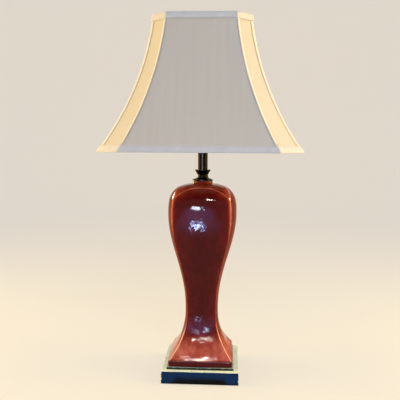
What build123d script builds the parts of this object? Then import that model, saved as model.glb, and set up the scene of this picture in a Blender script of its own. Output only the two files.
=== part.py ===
from build123d import *
import os
from math import cos, pi, radians, sin, sqrt

os.makedirs("parts", exist_ok=True)

# A baluster table lamp: a square plinth, a glazed ceramic body, a bronze neck, a harp with a
# lamp holder inside it, and a cut-corner bell shade. Millimetres, +Z up, front faces -Y, and
# the origin is the middle of the felt that rests on the table.

# Clearances
pipe_clearance = 0.1
running_clearance = 0.05
push_clearance = 0.1
fabric_clearance = 0.3
seam_gap = 0.2

# Plinth and its step
felt_thickness = 1.5
felt_inset = 4
plinth_half = 83.8
plinth_height = 27.7
plinth_edge = 0.8
step_half = 73
step_height = 4.9
step_edge = 0.6
pocket_radius = 30
pocket_depth = 15.5

# Cord inlet in the back of the plinth
bushing_radius = 6
bushing_bore_radius = 3.6
bushing_length = 16
bushing_flange_radius = 9
bushing_flange_thickness = 2
inlet_height = 12.5

# Ceramic body: each section is a square whose four sides bow out. A crown width is measured to
# the middle of a side, and a ridge width to the plane of a corner.
foot_crown = 71.6
foot_ridge = 69.6
foot_band_height = 12
foot_corner_radius = 2
waist_crown = 36.8
waist_ridge = 32.3
waist_height = 111.4
flare_power = 2.2
shoulder_crown = 76.4
shoulder_ridge = 63.8
shoulder_height = 330.9
swell_power = 1.12
shoulder_rise = 67
shoulder_power = 3
lip_radius = 22
lip_height = 5
body_wall = 6
body_floor = 6
floor_hole_radius = 15
lip_hole_radius = 12
lip_hole_depth = 23
flare_sections = 6
swell_sections = 7
shoulder_angles = (15, 30, 45, 57, 67, 75, 80)

# Lamp pipe and what it clamps
pipe_radius = 4.95
pipe_bore_radius = 3.5
pipe_below_nut = 4
pipe_into_holder = 7
nut_across_flats = 17
nut_thickness = 5
washer_radius = 15
washer_thickness = 1.6
centring_ring_height = 4
gasket_thickness = 1
gasket_radius = 20

# Neck
cap_radius = 23
cap_rim_height = 2
cap_height = 6.5
cap_top_radius = 12.5
cap_dome_radius = 46
cap_spigot_depth = 5
collar_height = 17.5
collar_waist_radius = 11.6
collar_waist_height = 6
collar_rim_radius = 17.3
collar_rim_height = 1.6
collar_cup_depth = 9
neck_radius = 10.8
neck_wall = 0.9
neck_length = 84

# Saddle and harp
saddle_thickness = 1.6
saddle_width = 15
saddle_end = 5
leg_spread = 34
post_height = 12
post_wall = 1.2
wire_radius = 2
leg_straight = 37
harp_belly = 56
belly_low = 88
belly_high = 163
harp_top = 223
harp_top_half = 16
harp_radii = (30, 45, 40, 22)
ferrule_length = 9
ferrule_wall = 0.9

# Harp crown and finial
crown_radius = 6
crown_below_wire = 5
crown_above_wire = 4
crown_flange_radius = 8.5
crown_flange_thickness = 1.6
stud_radius = 3.1
stud_length = 12
finial_height = 30
finial_bore_depth = 14
finial_foot_radius = 7.5
finial_foot_height = 3
finial_waist_radius = 4.5
finial_waist_low = 5
finial_waist_high = 9
finial_belly_radius = 9
finial_belly_height = 17
finial_tip_radius = 3
finial_tip_height = 26

# Lamp holder
holder_hub_radius = 10
holder_hub_height = 6
holder_cap_radius = 16.8
holder_cap_height = 20
holder_cap_flare = 9
holder_cap_wall = 0.8
holder_shell_wall = 0.6
holder_height = 57
shell_in_cap = 8
liner_wall = 0.7
core_base = 15
core_height = 17
core_notch = 4.5
screw_shell_wall = 0.5
contact_radius = 4
contact_thickness = 0.8
terminal_shank_radius = 1.6
terminal_shank_length = 6
terminal_head_radius = 3
terminal_head_thickness = 1.8
set_screw_radius = 1.5
set_screw_length = 7

# Turn switch
spindle_radius = 2.4
spindle_depth = 12
spindle_height = 23
knob_radius = 7
knob_length = 12
knob_gap = 5
knob_flutes = 12
knob_flute_radius = 0.8

# Bulb
bulb_base_radius = 12.6
bulb_base_height = 24
bulb_base_wall = 0.5
bulb_radius = 27.5
bulb_neck_radius = 11.5
bulb_neck_in_base = 5.75
bulb_length = 75
bulb_glass_wall = 1
bulb_contact_gap = 0.3
bulb_contact_height = 2.5
stem_height = 34
stem_tip_radius = 3
filament_radius = 0.4
filament_bend_radius = 0.8
filament_half = 9
filament_rise = 14

# Shade: a square with cut corners at every height, whose side follows one hollow arc
shade_bottom = 501
shade_height = 279
shade_top_half = 101
shade_bottom_half = 200.8
shade_top_cut = 31
shade_bottom_cut = 49
bell_radius = 655
cover_thickness = 0.8
lining_thickness = 0.5
lining_margin = 5
ring_radius = 1.6
bottom_ring_radius = 1.8
ring_bend_radius = 5
rib_radius = 1.2
trim_thickness = 1.4
trim_height = 13
trim_lap = 0.8
piping_radius = 1.7
piping_top_gap = 0.85
hub_radius = 13
hub_thickness = 1.6
arm_radius = 1.8
trim_section_count = 3
bell_section_count = 7

# Levels above the table, from the sizes above
plinth_base = felt_thickness
plinth_top = plinth_base + plinth_height
seat = plinth_top + step_height
pocket_top = plinth_base + pocket_depth
lip_base = seat + shoulder_height + shoulder_rise
lip_top = lip_base + lip_height
cap_base = lip_top + gasket_thickness
cap_top = cap_base + cap_height
collar_top = cap_top + collar_height
neck_base = collar_top - collar_cup_depth
saddle_base = neck_base + neck_length
saddle_top = saddle_base + saddle_thickness
holder_top = saddle_top + holder_height
wire_top = saddle_top + harp_top
hub_base = wire_top + crown_above_wire + crown_flange_thickness
hub_top = hub_base + hub_thickness
shade_top = shade_bottom + shade_height
hole_radius = pipe_radius + pipe_clearance


def keep(piece, name):
    """Label a finished piece and write it as its own STEP file."""
    piece.part.label = name
    export_step(piece.part, f"parts/{name}.step")


def turned(*outline, mode=Mode.ADD):
    """Turn a closed outline of (radius, height) points about the lamp's upright axis."""
    with BuildSketch(Plane.XZ) as profile:
        with BuildLine():
            Polyline(*outline, close=True)
        make_face()
    revolve(profile.sketch, axis=Axis.Z, mode=mode)


def ring(outer, inner, base, height, mode=Mode.ADD):
    """A plain ring or sleeve about the upright axis."""
    turned((inner, base), (outer, base), (outer, base + height), (inner, base + height), mode=mode)


# Felt pad
with BuildPart() as felt_pad:
    with BuildSketch():
        RectangleRounded(2 * (plinth_half - felt_inset), 2 * (plinth_half - felt_inset), felt_inset)
    extrude(amount=felt_thickness)
keep(felt_pad, "felt_pad")

# Plinth, with a pocket underneath for the nut and a hole through the back for the cord
with BuildPart() as plinth:
    with BuildSketch(Plane.XY.offset(plinth_base)):
        Rectangle(2 * plinth_half, 2 * plinth_half)
    extrude(amount=plinth_height)
    chamfer(plinth.edges().group_by(Axis.Z)[-1], plinth_edge)
    chamfer(plinth.edges().filter_by(Axis.Z), plinth_edge)
    with BuildSketch(Plane.XY.offset(plinth_base)):
        Circle(pocket_radius)
    extrude(amount=pocket_depth, mode=Mode.SUBTRACT)
    with BuildSketch(Plane.XY.offset(pocket_top)):
        Circle(hole_radius)
    extrude(amount=plinth_height, mode=Mode.SUBTRACT)
    with BuildSketch(Plane((0, plinth_half, inlet_height), z_dir=(0, -1, 0))):
        Circle(bushing_radius + push_clearance)
    extrude(amount=plinth_half, mode=Mode.SUBTRACT)
keep(plinth, "plinth")

# Step between the plinth and the body
with BuildPart() as plinth_step:
    with BuildSketch(Plane.XY.offset(plinth_top)):
        Rectangle(2 * step_half, 2 * step_half)
        Circle(hole_radius, mode=Mode.SUBTRACT)
    extrude(amount=step_height)
    chamfer(plinth_step.edges().filter_by(Axis.Z), step_edge)
keep(plinth_step, "plinth_step")

# Bushing that guides the cord through the back of the plinth
with BuildPart() as cord_bushing:
    with BuildSketch(Plane((0, plinth_half, inlet_height), z_dir=(0, 1, 0))):
        Circle(bushing_flange_radius)
    extrude(amount=bushing_flange_thickness)
    with BuildSketch(Plane((0, plinth_half, inlet_height), z_dir=(0, -1, 0))):
        Circle(bushing_radius)
    extrude(amount=bushing_length - bushing_flange_thickness)
    with BuildSketch(Plane((0, plinth_half + bushing_flange_thickness, inlet_height), z_dir=(0, -1, 0))):
        Circle(bushing_bore_radius)
    extrude(amount=bushing_length, mode=Mode.SUBTRACT)
keep(cord_bushing, "cord_bushing")


def body_half(height, foot, waist, shoulder):
    """Half width of the body between its foot band and its shoulder."""
    if height < waist_height:
        flare = (waist_height - height) / (waist_height - foot_band_height)
        return waist + (foot - waist) * flare**flare_power
    swell = ((height - waist_height) / (shoulder_height - waist_height)) ** swell_power
    return waist + (shoulder - waist) * (1 - cos(pi * swell)) / 2


def bowed_square(level, crown, ridge):
    """A square section whose four sides are arcs, at a level above the table."""
    with BuildSketch(Plane.XY.offset(level)) as section:
        with BuildLine():
            ThreePointArc((-ridge, -ridge), (0, -crown), (ridge, -ridge))
            ThreePointArc((ridge, -ridge), (crown, 0), (ridge, ridge))
            ThreePointArc((ridge, ridge), (0, crown), (-ridge, ridge))
            ThreePointArc((-ridge, ridge), (-crown, 0), (-ridge, -ridge))
        make_face()
    return section.sketch


def body_sections(wall, rise):
    """Sections from the foot band up to the lip, drawn in by a wall, with a given shoulder rise."""
    sections = []
    foot_to_waist = waist_height - foot_band_height
    waist_to_shoulder = shoulder_height - waist_height
    heights = [foot_band_height + foot_to_waist * i / flare_sections for i in range(flare_sections)]
    heights += [waist_height + waist_to_shoulder * i / swell_sections for i in range(swell_sections + 1)]
    for height in heights:
        crown = body_half(height, foot_crown, waist_crown, shoulder_crown) - wall
        ridge = body_half(height, foot_ridge, waist_ridge, shoulder_ridge) - wall
        sections.append(bowed_square(seat + height, crown, ridge))
    # The sides bow more and more over the shoulder, until the section is round at the lip.
    square_share = (shoulder_ridge - wall) / (shoulder_crown - wall)
    round_share = sqrt(0.5)
    for angle in shoulder_angles:
        up = sin(radians(angle)) ** (2 / shoulder_power)
        crown = (shoulder_crown - wall) * cos(radians(angle)) ** (2 / shoulder_power)
        share = square_share + (round_share - square_share) * (angle / 90) ** 2
        sections.append(bowed_square(seat + shoulder_height + rise * up, crown, crown * share))
    return sections


# Ceramic body: a slip-cast shell with a floor, a hole in the floor and a short lip
with BuildPart() as ceramic_body:
    loft(body_sections(0, shoulder_rise))
    with BuildSketch(Plane.XY.offset(seat)) as band:
        add(bowed_square(0, foot_crown, foot_ridge))
        fillet(band.vertices(), foot_corner_radius)
    extrude(amount=foot_band_height)
    ring(lip_radius, 0, lip_base - body_wall, body_wall + lip_height)
    loft(body_sections(body_wall, shoulder_rise - body_wall), mode=Mode.SUBTRACT)
    with BuildSketch(Plane.XY.offset(seat + body_floor)):
        add(bowed_square(0, foot_crown - body_wall, foot_ridge - body_wall))
    extrude(amount=foot_band_height - body_floor, mode=Mode.SUBTRACT)
    ring(floor_hole_radius, 0, seat, body_floor, mode=Mode.SUBTRACT)
    ring(lip_hole_radius, 0, lip_top - lip_hole_depth, lip_hole_depth, mode=Mode.SUBTRACT)
keep(ceramic_body, "ceramic_body")

# Ring that centres the body's floor on the pipe
with BuildPart() as centring_ring:
    ring(floor_hole_radius - push_clearance, hole_radius, seat, centring_ring_height)
keep(centring_ring, "centring_ring")

# Rubber gasket between the body's lip and the vase cap
with BuildPart() as cap_gasket:
    ring(gasket_radius, lip_hole_radius, lip_top, gasket_thickness)
keep(cap_gasket, "cap_gasket")

# Vase cap: a spun bronze cover with a spigot that centres it in the lip
with BuildPart() as vase_cap:
    with BuildSketch(Plane.XZ) as cap_profile:
        with BuildLine():
            Polyline(
                (cap_top_radius, cap_top),
                (hole_radius, cap_top),
                (hole_radius, cap_base - cap_spigot_depth),
                (lip_hole_radius - push_clearance, cap_base - cap_spigot_depth),
                (lip_hole_radius - push_clearance, cap_base),
                (cap_radius, cap_base),
                (cap_radius, cap_base + cap_rim_height),
            )
            RadiusArc((cap_radius, cap_base + cap_rim_height), (cap_top_radius, cap_top), cap_dome_radius)
        make_face()
    revolve(cap_profile.sketch, axis=Axis.Z)
keep(vase_cap, "vase_cap")

# Neck collar: a cup, wide side up, that holds the foot of the neck tube
with BuildPart() as neck_collar:
    turned(
        (hole_radius, cap_top),
        (cap_top_radius, cap_top),
        (collar_waist_radius, cap_top + collar_waist_height),
        (collar_rim_radius, collar_top - collar_rim_height),
        (collar_rim_radius, collar_top),
        (neck_radius + push_clearance, collar_top),
        (neck_radius + push_clearance, neck_base),
        (hole_radius, neck_base),
    )
keep(neck_collar, "neck_collar")

# Neck tube, which hides the pipe above the body
with BuildPart() as neck_tube:
    ring(neck_radius, neck_radius - neck_wall, neck_base, neck_length)
keep(neck_tube, "neck_tube")

# Lamp pipe, from the pocket in the plinth to the lamp holder
nut_top = pocket_top - washer_thickness
nut_base = nut_top - nut_thickness
pipe_base = nut_base - pipe_below_nut
pipe_top = saddle_top + pipe_into_holder
with BuildPart() as lamp_pipe:
    ring(pipe_radius, pipe_bore_radius, pipe_base, pipe_top - pipe_base)
keep(lamp_pipe, "lamp_pipe")

# Washer and nut that pull the pipe down inside the plinth
with BuildPart() as pipe_washer:
    ring(washer_radius, hole_radius, nut_top, washer_thickness)
keep(pipe_washer, "pipe_washer")

with BuildPart() as pipe_nut:
    with BuildSketch(Plane.XY.offset(nut_base)):
        RegularPolygon(nut_across_flats / 2, 6, major_radius=False)
        Circle(pipe_radius + running_clearance, mode=Mode.SUBTRACT)
    extrude(amount=nut_thickness)
keep(pipe_nut, "pipe_nut")

# Harp saddle: a strip under the lamp holder whose ends carry half-round posts
post_inner = wire_radius + push_clearance
post_outer = post_inner + post_wall
with BuildPart() as harp_saddle:
    with BuildSketch(Plane.XY.offset(saddle_base)):
        SlotOverall(2 * (leg_spread + post_outer + saddle_end), saddle_width)
        Circle(hole_radius, mode=Mode.SUBTRACT)
    extrude(amount=saddle_thickness)
    for side in (-1, 1):
        with BuildSketch(Plane((side * leg_spread, 0, saddle_top), x_dir=(side, 0, 0))):
            Circle(post_outer)
            Circle(post_inner, mode=Mode.SUBTRACT)
            with Locations((-post_outer, 0)):
                Rectangle(2 * post_outer, 2 * post_outer, mode=Mode.SUBTRACT)
        extrude(amount=post_height)
keep(harp_saddle, "harp_saddle")

# Lamp holder: its cap screws on the pipe and clamps the whole stack
cap_inner = holder_cap_radius - holder_cap_wall
shell_base = saddle_top + holder_cap_height - shell_in_cap
shell_radius = cap_inner - push_clearance
with BuildPart() as holder_cap:
    turned(
        (pipe_radius + running_clearance, saddle_top),
        (holder_hub_radius, saddle_top),
        (holder_cap_radius, saddle_top + holder_cap_flare),
        (holder_cap_radius, saddle_top + holder_cap_height),
        (cap_inner, saddle_top + holder_cap_height),
        (cap_inner, saddle_top + holder_cap_flare + holder_cap_wall),
        (holder_hub_radius - holder_cap_wall, saddle_top + holder_hub_height),
        (pipe_radius + running_clearance, saddle_top + holder_hub_height),
    )
    with BuildSketch(Plane((holder_cap_radius, 0, saddle_top + holder_hub_height / 2), z_dir=(-1, 0, 0))):
        Circle(set_screw_radius + running_clearance)
    extrude(amount=holder_cap_radius - pipe_radius, mode=Mode.SUBTRACT)
keep(holder_cap, "holder_cap")

# Set screw that stops the cap from turning on the pipe
with BuildPart() as set_screw:
    with BuildSketch(
        Plane((pipe_radius + push_clearance, 0, saddle_top + holder_hub_height / 2), z_dir=(1, 0, 0))
    ):
        Circle(set_screw_radius)
    extrude(amount=set_screw_length)
keep(set_screw, "set_screw")

# Outer shell and its fibre liner, each with a hole for the switch spindle
spindle_level = saddle_top + spindle_height
spindle_hole = spindle_radius + push_clearance
core_radius = shell_radius - holder_shell_wall - liner_wall - 2 * push_clearance


def sleeve_with_spindle_hole(outer, inner, base, height):
    """A sleeve with a round hole through its front for the spindle."""
    ring(outer, inner, base, height)
    with BuildSketch(Plane((0, 0, spindle_level), z_dir=(0, -1, 0))) as hole:
        Circle(spindle_hole)
    extrude(hole.sketch, amount=2 * outer, mode=Mode.SUBTRACT)


with BuildPart() as holder_shell:
    sleeve_with_spindle_hole(
        shell_radius, shell_radius - holder_shell_wall, shell_base, holder_top - shell_base
    )
keep(holder_shell, "holder_shell")

with BuildPart() as holder_liner:
    sleeve_with_spindle_hole(
        shell_radius - holder_shell_wall - push_clearance,
        core_radius + push_clearance,
        shell_base,
        holder_top - shell_base,
    )
keep(holder_liner, "holder_liner")

# Insulating core, bored for the spindle and notched for the terminals
core_bottom = saddle_top + core_base
core_top = core_bottom + core_height
with BuildPart() as holder_core:
    ring(core_radius, 0, core_bottom, core_height)
    with BuildSketch(Plane((0, -core_radius, spindle_level), z_dir=(0, 1, 0))):
        Circle(spindle_radius + running_clearance)
    extrude(amount=spindle_depth, mode=Mode.SUBTRACT)
    for side in (-1, 1):
        with BuildSketch(Plane((side * core_radius, 0, core_bottom + core_height / 2), z_dir=(-side, 0, 0))):
            Rectangle(core_radius, core_height / 2)
        extrude(amount=core_notch, mode=Mode.SUBTRACT)
        with BuildSketch(Plane((side * core_radius, 0, core_bottom + core_height / 2), z_dir=(-side, 0, 0))):
            Circle(terminal_shank_radius + running_clearance)
        extrude(amount=core_notch + terminal_shank_length, mode=Mode.SUBTRACT)
keep(holder_core, "holder_core")

# Terminal screws, one each side of the core
with BuildPart() as terminal_screws:
    for side in (-1, 1):
        with BuildSketch(
            Plane((side * (core_radius - core_notch), 0, core_bottom + core_height / 2), z_dir=(side, 0, 0))
        ):
            Circle(terminal_head_radius)
        extrude(amount=terminal_head_thickness)
        with BuildSketch(
            Plane((side * (core_radius - core_notch), 0, core_bottom + core_height / 2), z_dir=(-side, 0, 0))
        ):
            Circle(terminal_shank_radius)
        extrude(amount=terminal_shank_length)
keep(terminal_screws, "terminal_screws")

# Screw shell that takes the bulb, and the centre contact under it
screw_inner = bulb_base_radius + push_clearance
with BuildPart() as screw_shell:
    ring(screw_inner + screw_shell_wall, screw_inner, core_top, holder_top - core_top)
keep(screw_shell, "screw_shell")

with BuildPart() as centre_contact:
    ring(contact_radius, 0, core_top, contact_thickness)
keep(centre_contact, "centre_contact")

# Turn switch: a spindle into the core, and a fluted knob on its end
knob_base = shell_radius + knob_gap
with BuildPart() as switch_spindle:
    with BuildSketch(Plane((0, -core_radius + spindle_depth - push_clearance, spindle_level), z_dir=(0, -1, 0))):
        Circle(spindle_radius)
    extrude(amount=knob_base - core_radius + spindle_depth - push_clearance)
keep(switch_spindle, "switch_spindle")

with BuildPart() as switch_knob:
    with BuildSketch(Plane((0, -knob_base, spindle_level), z_dir=(0, -1, 0))):
        Circle(knob_radius)
        with PolarLocations(knob_radius, knob_flutes):
            Circle(knob_flute_radius, mode=Mode.SUBTRACT)
    extrude(amount=knob_length)
keep(switch_knob, "switch_knob")

# Bulb: a thin glass envelope in a metal base, with its contact, stem and filament
bulb_foot = core_top + contact_thickness + bulb_contact_gap
base_foot = bulb_foot + bulb_contact_height
base_top = base_foot + bulb_base_height
base_inner = bulb_base_radius - bulb_base_wall
glass_foot = base_top - bulb_neck_in_base
glass_centre = base_top + bulb_length - bulb_radius
with BuildPart() as bulb_base:
    turned(
        (contact_radius / 2, base_foot),
        (bulb_base_radius / 2, base_foot),
        (bulb_base_radius, base_foot + bulb_contact_height),
        (bulb_base_radius, base_top),
        (base_inner, base_top),
        (base_inner, base_foot + bulb_contact_height + bulb_base_wall),
        (contact_radius / 2, base_foot + bulb_contact_height + bulb_base_wall),
    )
keep(bulb_base, "bulb_base")

with BuildPart() as bulb_contact:
    ring(contact_radius / 2, 0, bulb_foot, 2 * bulb_contact_height)
keep(bulb_contact, "bulb_contact")


def bulb_outline(wall):
    """The solid of revolution inside the envelope's outer face, drawn in by a wall."""
    with BuildSketch(Plane.XZ) as outline:
        with BuildLine():
            crown = (0, glass_centre + bulb_radius - wall)
            widest = (bulb_radius - wall, glass_centre)
            neck = (bulb_neck_radius - wall, base_top)
            quarter = (bulb_radius - wall) * sqrt(0.5)
            ThreePointArc(crown, (quarter, glass_centre + quarter), widest)
            Spline(widest, neck, tangents=((0, -1), (0, -1)))
            Polyline(neck, (bulb_neck_radius - wall, glass_foot), (0, glass_foot), crown)
        make_face()
    return outline.sketch


with BuildPart() as bulb_glass:
    revolve(bulb_outline(0), axis=Axis.Z)
    revolve(bulb_outline(bulb_glass_wall), axis=Axis.Z, mode=Mode.SUBTRACT)
keep(bulb_glass, "bulb_glass")

stem_foot_radius = bulb_neck_radius - bulb_glass_wall - running_clearance
with BuildPart() as bulb_stem:
    turned(
        (0, glass_foot),
        (stem_foot_radius, glass_foot),
        (stem_tip_radius, glass_foot + stem_height / 2),
        (stem_tip_radius, glass_foot + stem_height),
        (0, glass_foot + stem_height),
    )
keep(bulb_stem, "bulb_stem")

filament_foot = glass_foot + stem_height + filament_radius
with BuildPart() as bulb_filament:
    with BuildLine() as filament_path:
        FilletPolyline(
            (-stem_tip_radius / 2, 0, filament_foot),
            (-filament_half, 0, filament_foot + filament_rise),
            (0, 0, filament_foot + filament_rise + stem_tip_radius),
            (filament_half, 0, filament_foot + filament_rise),
            (stem_tip_radius / 2, 0, filament_foot),
            radius=filament_bend_radius,
        )
    with BuildSketch(Plane(filament_path.line @ 0, z_dir=filament_path.line % 0)):
        Circle(filament_radius)
    sweep()
keep(bulb_filament, "bulb_filament")

# Harp: one bent wire whose straight legs stand in the saddle's posts
with BuildPart() as harp:
    with BuildLine() as harp_path:
        left_side = [
            (-leg_spread, 0, saddle_top),
            (-leg_spread, 0, saddle_top + leg_straight),
            (-harp_belly, 0, saddle_top + belly_low),
            (-harp_belly, 0, saddle_top + belly_high),
            (-harp_top_half, 0, wire_top),
        ]
        right_side = [(-x, y, z) for x, y, z in reversed(left_side)]
        FilletPolyline(*left_side, *right_side, radius=[*harp_radii, *reversed(harp_radii)])
    with BuildSketch(Plane(harp_path.line @ 0, z_dir=harp_path.line % 0)):
        Circle(wire_radius)
    sweep()
keep(harp, "harp")

# Harp crown: a turned bush on the top of the wire, with a flange and a stud for the shade
with BuildPart() as harp_crown:
    ring(crown_radius, 0, wire_top - crown_below_wire, crown_below_wire + crown_above_wire)
    ring(crown_flange_radius, 0, hub_base - crown_flange_thickness, crown_flange_thickness)
    ring(stud_radius, 0, hub_base, stud_length)
    with BuildSketch(Plane((-crown_flange_radius, 0, wire_top), z_dir=(1, 0, 0))):
        Circle(wire_radius + push_clearance)
    extrude(amount=2 * crown_flange_radius, mode=Mode.SUBTRACT)
keep(harp_crown, "harp_crown")

# Ferrules that lock each leg of the harp to its post
ferrule_inner = post_outer + push_clearance
for name, side in (("harp_ferrule_left", -1), ("harp_ferrule_right", 1)):
    with BuildPart() as ferrule:
        with BuildSketch(Plane((side * leg_spread, 0, saddle_top))):
            Circle(ferrule_inner + ferrule_wall)
            Circle(ferrule_inner, mode=Mode.SUBTRACT)
        extrude(amount=ferrule_length)
    keep(ferrule, name)

# Finial: a turned knob on the stud that holds the shade down
with BuildPart() as finial:
    with BuildSketch(Plane.XZ) as finial_profile:
        with BuildLine():
            Polyline(
                (0, hub_top + finial_height),
                (0, hub_top),
                (finial_foot_radius, hub_top),
                (finial_foot_radius, hub_top + finial_foot_height),
                (finial_waist_radius, hub_top + finial_waist_low),
                (finial_waist_radius, hub_top + finial_waist_high),
            )
            Spline(
                (finial_waist_radius, hub_top + finial_waist_high),
                (finial_belly_radius, hub_top + finial_belly_height),
                (finial_tip_radius, hub_top + finial_tip_height),
                (0, hub_top + finial_height),
                tangents=((1, 0.4), (-1, 0)),
            )
        make_face()
    revolve(finial_profile.sketch, axis=Axis.Z)
    ring(stud_radius + running_clearance, 0, hub_top, finial_bore_depth, mode=Mode.SUBTRACT)
keep(finial, "finial")


def bell_half(height):
    """Half width of the shade at a height above the table, on its hollow side arc."""
    run, drop = shade_bottom_half - shade_top_half, shade_height
    chord = sqrt(run**2 + drop**2)
    reach = sqrt(bell_radius**2 - (chord / 2) ** 2)
    centre_half = (shade_top_half + shade_bottom_half) / 2 + reach * drop / chord
    centre_height = (shade_bottom + shade_top) / 2 + reach * run / chord
    return centre_half - sqrt(bell_radius**2 - (height - centre_height) ** 2)


def bell_corners(height, outward=0):
    """The eight corners of the shade's section, front left first, moved outward from its sides."""
    half = bell_half(height)
    share = (half - shade_top_half) / (shade_bottom_half - shade_top_half)
    cut = shade_top_cut + (shade_bottom_cut - shade_top_cut) * share + (2 - sqrt(2)) * outward
    half += outward
    short = half - cut
    return [
        (-short, -half),
        (short, -half),
        (half, -short),
        (half, short),
        (short, half),
        (-short, half),
        (-half, short),
        (-half, -short),
    ]


def spaced(low, high, count):
    """Evenly spaced heights, both ends included."""
    return [low + (high - low) * i / (count - 1) for i in range(count)]


def closed_face(height, points):
    """A flat face at a height, bounded by straight lines through the points."""
    with BuildSketch(Plane.XY.offset(height)) as face:
        with BuildLine():
            Polyline(*points, close=True)
        make_face()
    return face.sketch


def between(start, end, distance):
    """The point that lies a distance from start on the way to end."""
    run = sqrt((end[0] - start[0]) ** 2 + (end[1] - start[1]) ** 2)
    return (
        start[0] + (end[0] - start[0]) * distance / run,
        start[1] + (end[1] - start[1]) * distance / run,
    )


def bell_panel(corner, low, high, outward, thickness):
    """One of the eight curved panels, drawn in at both seams so that neighbours stay apart."""
    sections = []
    for height in spaced(low, high, bell_section_count):
        outer, inner = bell_corners(height, outward), bell_corners(height, outward - thickness)
        a, b = outer[corner], outer[(corner + 1) % 8]
        c, d = inner[(corner + 1) % 8], inner[corner]
        half_gap = seam_gap / 2
        points = [between(a, b, half_gap), between(b, a, half_gap)]
        points += [between(c, d, half_gap), between(d, c, half_gap)]
        sections.append(closed_face(height, points))
    loft(sections)


def bell_band(low, high, outward, thickness, section_count):
    """A closed band of the shade's section between two heights."""
    heights = spaced(low, high, section_count)
    loft([closed_face(height, bell_corners(height, outward)) for height in heights])
    loft(
        [closed_face(height, bell_corners(height, outward - thickness)) for height in heights],
        mode=Mode.SUBTRACT,
    )


def bell_wire(corner, low, high, outward, radius):
    """A round wire that follows one corner of the shade between two heights."""
    points = []
    for height in (low, (low + high) / 2, high):
        x, y = bell_corners(height, outward)[corner]
        points.append((x, y, height))
    with BuildLine() as path:
        ThreePointArc(*points)
    with BuildSketch(Plane(path.line @ 0, z_dir=path.line % 0)) as wire_section:
        Circle(radius)
    sweep(wire_section.sketch, path=path.line)


def ring_wire(height, outward, radius):
    """A closed wire ring that follows the shade's section at one height."""
    with BuildSketch(Plane.XY.offset(height)) as outline:
        with BuildLine():
            Polyline(*bell_corners(height, outward), close=True)
        make_face()
        fillet(outline.vertices(), ring_bend_radius)
    path = outline.sketch.face().outer_wire()
    with BuildSketch(Plane(path @ 0, z_dir=path % 0)) as wire_section:
        Circle(radius)
    sweep(wire_section.sketch, path=path)


def corner_reach(height):
    """How far a corner panel's face is from the upright axis."""
    x, y = bell_corners(height)[1]
    return (x - y) / sqrt(2)


# The corner panels lean most, at the bottom, where a gap square to the fabric is wider when
# measured level.
bottom_slope = corner_reach(shade_bottom) - corner_reach(shade_bottom + 1)
lean = sqrt(1 + bottom_slope**2)

# Shade frame: two rings, eight ribs, and the spider that hangs it from the harp
top_ring_inset = cover_thickness + ring_radius + fabric_clearance
top_ring_level = shade_top - ring_radius
bottom_ring_inset = cover_thickness + (bottom_ring_radius + fabric_clearance) * lean
bottom_ring_level = shade_bottom + bottom_ring_radius
with BuildPart() as top_ring:
    ring_wire(top_ring_level, -top_ring_inset, ring_radius)
keep(top_ring, "shade_top_ring")

with BuildPart() as bottom_ring:
    ring_wire(bottom_ring_level, -bottom_ring_inset, bottom_ring_radius)
keep(bottom_ring, "shade_bottom_ring")

rib_inset = cover_thickness + (rib_radius + fabric_clearance) * lean
lining_inset = rib_inset + (rib_radius + fabric_clearance) * lean
rib_low = bottom_ring_level + bottom_ring_radius + rib_radius
rib_high = top_ring_level - ring_radius - push_clearance
with BuildPart() as shade_ribs:
    for corner in range(8):
        bell_wire(corner, rib_low, rib_high, -rib_inset, rib_radius)
keep(shade_ribs, "shade_ribs")

arm_reach = bell_half(top_ring_level) - top_ring_inset - ring_radius - push_clearance
arm_foot = hub_base + arm_radius
with BuildPart() as spider:
    ring(hub_radius, stud_radius + running_clearance, hub_base, hub_thickness)
    for quarter_turn in range(4):
        with BuildLine() as arm_path:
            turn = radians(90 * quarter_turn)
            foot = (hub_radius - arm_radius) * cos(turn), (hub_radius - arm_radius) * sin(turn)
            tip = arm_reach * cos(turn), arm_reach * sin(turn)
            Line((*foot, arm_foot), (*tip, top_ring_level))
        with BuildSketch(Plane(arm_path.line @ 0, z_dir=arm_path.line % 0)):
            Circle(arm_radius)
        sweep()
keep(spider, "shade_spider")

# Shade cover: four wide panels and four corner panels of stretched fabric
panel_names = ("front", "front_right", "right", "back_right", "back", "back_left", "left", "front_left")
for corner, side in enumerate(panel_names):
    with BuildPart() as panel:
        bell_panel(corner, shade_bottom, shade_top, 0, cover_thickness)
    keep(panel, f"shade_panel_{side}")

# Lining inside the ribs
with BuildPart() as shade_lining:
    bell_band(
        shade_bottom + lining_margin,
        shade_top - lining_margin,
        -lining_inset,
        lining_thickness,
        bell_section_count,
    )
keep(shade_lining, "shade_lining")

# Piping over the eight seams, and a folded trim round the top and the bottom
trim_outward = fabric_clearance + trim_thickness
with BuildPart() as top_trim:
    bell_band(shade_top - trim_height, shade_top + trim_lap, trim_outward, trim_thickness, trim_section_count)
keep(top_trim, "shade_top_trim")

with BuildPart() as bottom_trim:
    bell_band(shade_bottom - trim_lap, shade_bottom + trim_height, trim_outward, trim_thickness, trim_section_count)
keep(bottom_trim, "shade_bottom_trim")

piping_outward = (piping_radius + fabric_clearance) * lean
piping_low = shade_bottom + trim_height + piping_radius
piping_high = shade_top - trim_height - piping_top_gap
with BuildPart() as seam_piping:
    for corner in range(8):
        bell_wire(corner, piping_low, piping_high, piping_outward, piping_radius)
keep(seam_piping, "shade_piping")
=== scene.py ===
# %% [markdown]
# # A baluster table lamp
# The lamp has a glazed ceramic body on a lacquered plinth, a dark bronze neck, and a shade of
# stretched fabric that hangs from a wire harp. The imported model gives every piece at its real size
# and place, and this script dresses it: it models what is soft, glazed, sewn or knurled, and gives
# each surface the finish of its real material.

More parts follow.
